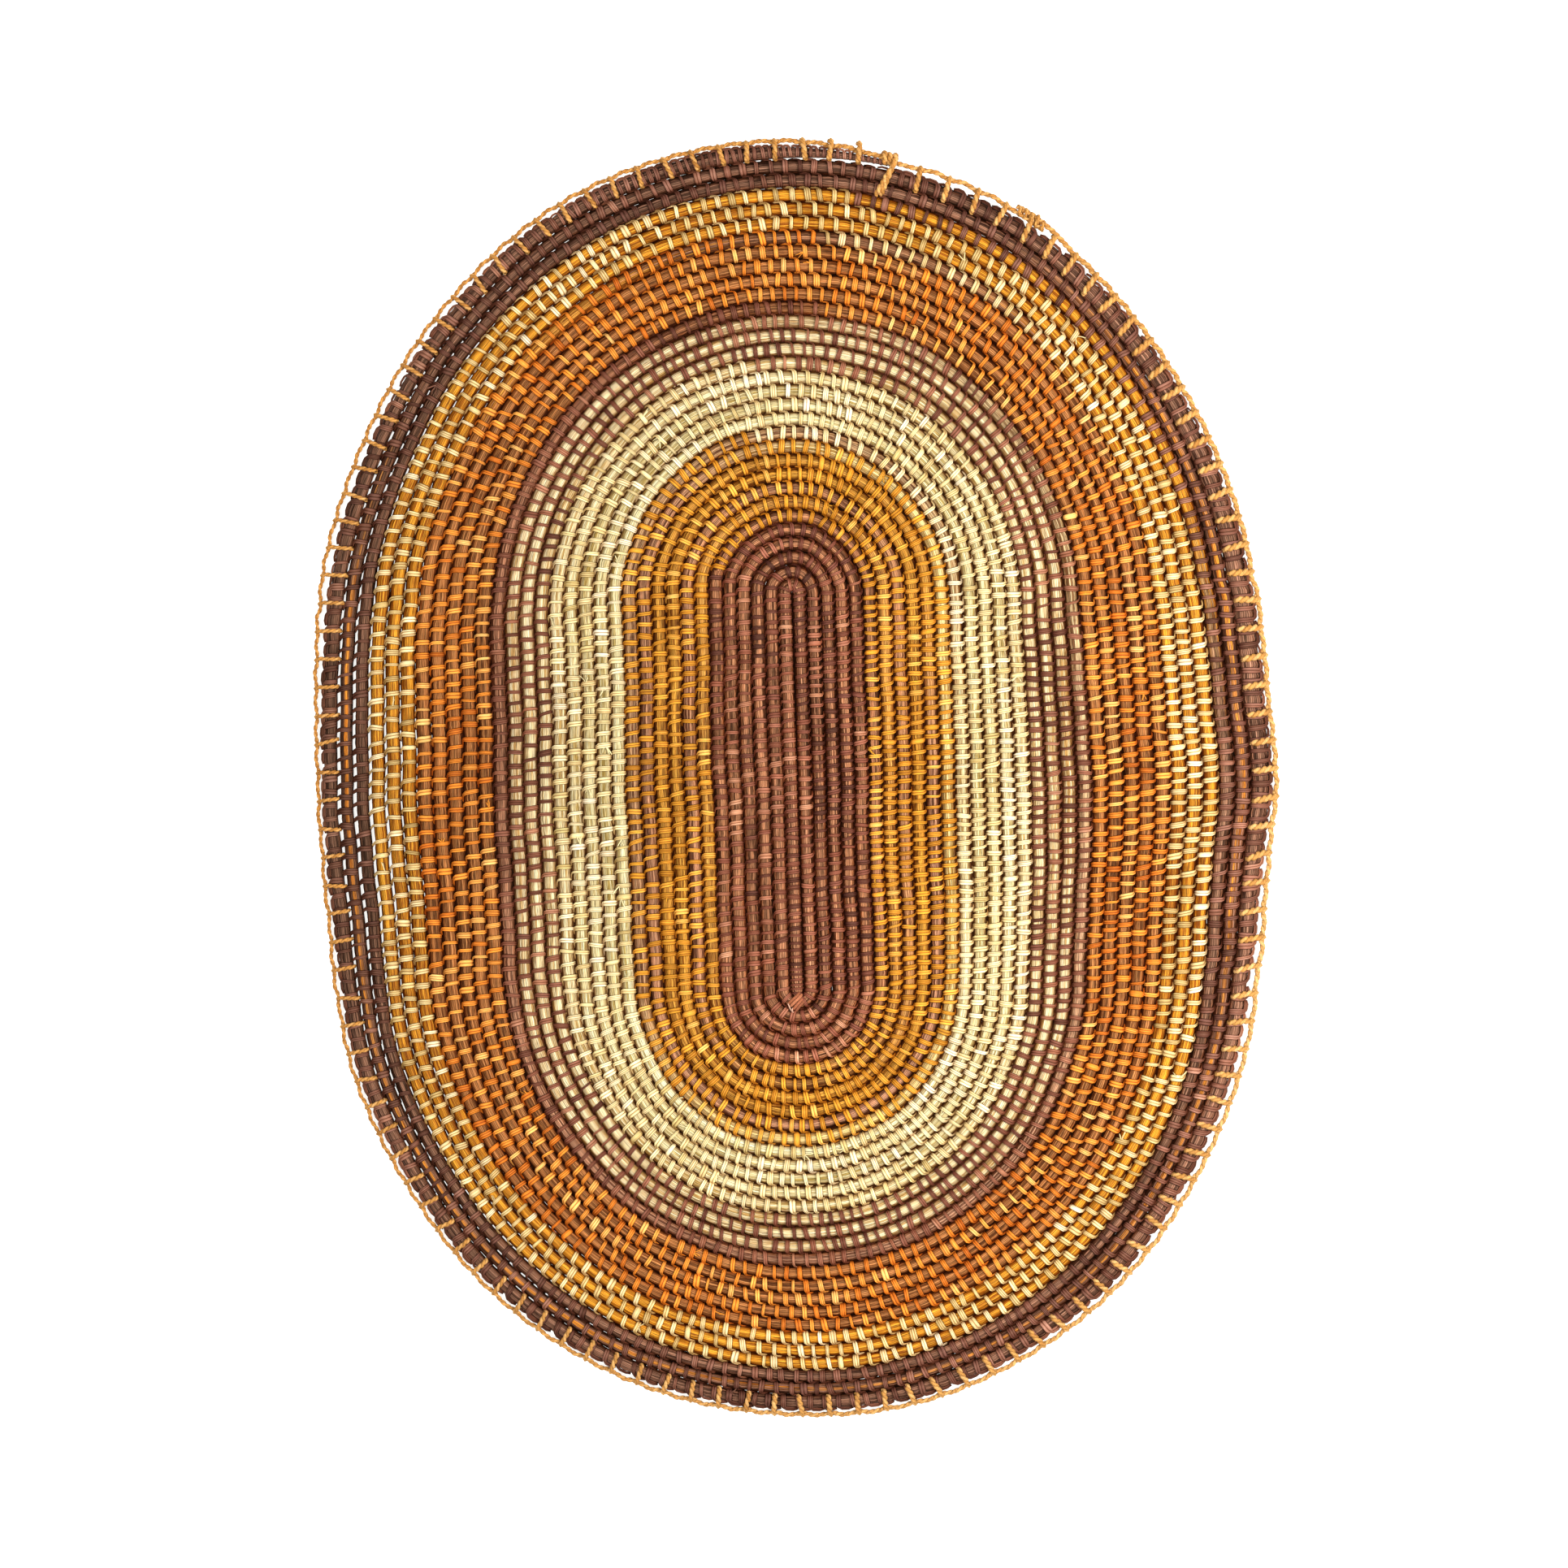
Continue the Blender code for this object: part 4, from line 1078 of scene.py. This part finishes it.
path, places = running_string(KNOT_TURN, SPLICE_TURN + splice_reach, short_legs)
parts = two_ply(path, places, string_random, size=STRING_SIZES[0])
for leg in short_legs:
    parts += leg_part(leg, string_random)
for first_place, wraps, radius in SPLICE_WRAPS:
    wound = np.linspace(0, wraps, int(wraps * SPLICE_WRAP_POINTS))
    turns = SPLICE_TURN + splice_reach * (first_place + wound * SPLICE_WRAP_STEP)
    wave = np.sin(wound * SPLICE_WAVE_RATES[0] + first_place * SPLICE_WAVE_RATES[1])
    wave = radius * (1 + SPLICE_WRAP_WAVE * wave)
    spots = beside_rim(turns, SPLICE_WRAP_PUSH + wave * np.cos(2 * math.pi * wound))
    levels = STRING_LEVEL + SPLICE_WRAP_LIFT + wave * np.sin(2 * math.pi * wound)
    path, places = smooth_path(np.column_stack([spots, levels]))
    parts += two_ply(path, places, string_random, LEG_SIDES, SPLICE_WRAP_SIZE)
add_strings("edge_string_short_plies", parts, "edge_string_short")

settled = SPLICE_TURN + 2 * splice_reach
path, places = running_string(settled, KNOT_TURN + 1.0, long_legs)
lead = [
    (*beside_rim(SPLICE_TURN + place * splice_reach, push), STRING_LEVEL + lift)
    for place, push, lift in SPLICE_LEAD
]
path, places = smooth_path(np.concatenate([lead, path[::LEAD_STRIDE], path[-1:]]))
turns = settled + (KNOT_TURN + 1.0 - settled) * places / places[-1]
parts = two_ply(path, places, string_random, size=round_loop(turns, STRING_SIZES, LEG_PLACES),
                painted_light_power=round_loop(turns, STRING_LIGHT_POWERS, LEG_PLACES))
for leg in long_legs:
    parts += leg_part(leg, string_random)
add_strings("edge_string_long_plies", parts, "edge_string_long")

# The knot
# Where both ends of the string meet, at the end of the coil. They are wound round each other and
# the tail goes over the two outermost rows, doubled, into the groove inside them.
KNOT_WRAPS = 2.5
WRAP_RADIUS = 0.0033
WRAP_PITCH = 0.0038
WRAP_POINTS = 34
KNOT_LEVEL = 0.0062
KNOT_SIZE = 1.3
# Points of the tail: way in from the knot, and lift over its level.
TAIL_SPOTS = ((0.0045, 0.0), (0.0105, 0.0006), (0.0165, -0.0006), (0.0215, 0.0), (0.0262, -0.0048))
TAIL_LEVEL = BUNDLE_HEIGHT + 0.0022
TAIL_SLANT = -0.18
SECOND_TAIL_SLANT = -0.31
SECOND_TAIL_POINTS = 9
SECOND_TAIL_PUSH = 0.0012
SECOND_TAIL_LIFT = 0.0016

knot_spot = beside_rim(np.array([KNOT_TURN, KNOT_TURN + 1.0]), 0.0).mean(axis=0)
knot_outward = outward_on_coil(run_at(KNOT_TURN))
knot_along = np.array([knot_outward[1], -knot_outward[0]])
wound = np.linspace(0, KNOT_WRAPS, WRAP_POINTS)[:, None]
wrap_angle = math.pi / 2 + 2 * math.pi * (wound - KNOT_WRAPS)
wrap_spots = knot_spot + WRAP_RADIUS * np.cos(wrap_angle) * knot_outward
wrap_spots = wrap_spots + (wound - KNOT_WRAPS / 2) * WRAP_PITCH * knot_along
wrap_path = np.column_stack([wrap_spots, KNOT_LEVEL + WRAP_RADIUS * np.sin(wrap_angle)])
second_start = wrap_path[-SECOND_TAIL_POINTS:] + np.array([0, 0, SECOND_TAIL_LIFT])
tails = ((wrap_path, 0.0, TAIL_SLANT), (second_start, SECOND_TAIL_PUSH, SECOND_TAIL_SLANT))
knot_random = np.random.default_rng(5)
parts = []
for start, push, slant in tails:
    way_in, lift = np.transpose(TAIL_SPOTS)[..., None]
    tail = wrap_path[-1, :2] - knot_outward * (way_in + push) + knot_along * way_in * slant
    path, places = smooth_path(np.concatenate([start, np.column_stack([tail, TAIL_LEVEL + lift])]))
    parts += two_ply(path, places, knot_random, size=KNOT_SIZE)
add_strings("edge_knot_plies", parts, "edge_knot")

# Floor, camera and light
# The mat lies on a pale floor that glows a little, seen from straight above, as in the photo. A far,
# soft lamp shines from the left and a little from the foot of the mat, so shadows fall to the right.
# A weak round lamp at the right and a dim, warm sky light the shaded sides.
FLOOR_HALF = 30
FLOOR_LEVEL = -0.0002
IMAGE_WIDTH_ON_FLOOR = 1.100
CAMERA_HEIGHT = 3.4
SENSOR_MM = 36.0
PIXEL = 0.00057
MAT_MIDDLE_PIXEL = (979.45, 958.74)
IMAGE_MIDDLE = 965.0
LAMP_SPREAD = math.radians(18)
LAMP_STRENGTH = 3.15
LAMP_TILTS = (math.radians(7), math.radians(-17), 0)
FILL_PLACE = (1.05, 0.1, 1.35)
FILL_AIM = 0.3
FILL_SIZE = 0.9
FILL_POWER = 40.0

floor_mesh = bpy.data.meshes.new("floor")
sides = ((-1, -1), (1, -1), (1, 1), (-1, 1))
corners = [(x * FLOOR_HALF, y * FLOOR_HALF, FLOOR_LEVEL) for x, y in sides]
floor_mesh.from_pydata(corners, [], [(0, 1, 2, 3)])
floor_paint = bpy.data.materials.new("pale_floor")
floor_paint.use_nodes = True
floor_shader = floor_paint.node_tree.nodes["Principled BSDF"]
floor_shader.inputs["Base Color"].default_value = (0.40, 0.39, 0.37, 1)
floor_shader.inputs["Roughness"].default_value = 0.9
floor_shader.inputs["Emission Color"].default_value = (1.0, 0.985, 0.95, 1)
floor_shader.inputs["Emission Strength"].default_value = 0.90
floor_mesh.materials.append(floor_paint)
floor = linked("floor", floor_mesh)

camera_data = bpy.data.cameras.new("camera")
camera_data.sensor_width = SENSOR_MM
camera_data.lens = SENSOR_MM * (CAMERA_HEIGHT - BUNDLE_HEIGHT) / IMAGE_WIDTH_ON_FLOOR
camera = linked("camera", camera_data)
view_x = (IMAGE_MIDDLE - MAT_MIDDLE_PIXEL[0]) * PIXEL
view_y = (MAT_MIDDLE_PIXEL[1] - IMAGE_MIDDLE) * PIXEL
camera.location = (view_x, view_y, CAMERA_HEIGHT)
bpy.context.scene.camera = camera

lamp_data = bpy.data.lights.new("far_softbox", "SUN")
lamp_data.angle = LAMP_SPREAD
lamp_data.energy = LAMP_STRENGTH
lamp_data.color = (1.0, 0.975, 0.94)
linked("far_softbox", lamp_data).rotation_euler = LAMP_TILTS

fill_data = bpy.data.lights.new("right_softbox", "AREA")
fill_data.shape = "DISK"
fill_data.size = FILL_SIZE
fill_data.energy = FILL_POWER
fill_data.color = (1.0, 0.965, 0.92)
fill = linked("right_softbox", fill_data)
fill.location = FILL_PLACE
fill.rotation_euler = (0, math.atan2(FILL_PLACE[0] - FILL_AIM, FILL_PLACE[2]), 0)

world = bpy.data.worlds.new("studio")
world.use_nodes = True
sky = world.node_tree.nodes["Background"]
sky.inputs["Color"].default_value = (1, 0.93, 0.83, 1)
sky.inputs["Strength"].default_value = 0.16
bpy.context.scene.world = world
bpy.context.scene.view_settings.view_transform = "Standard"
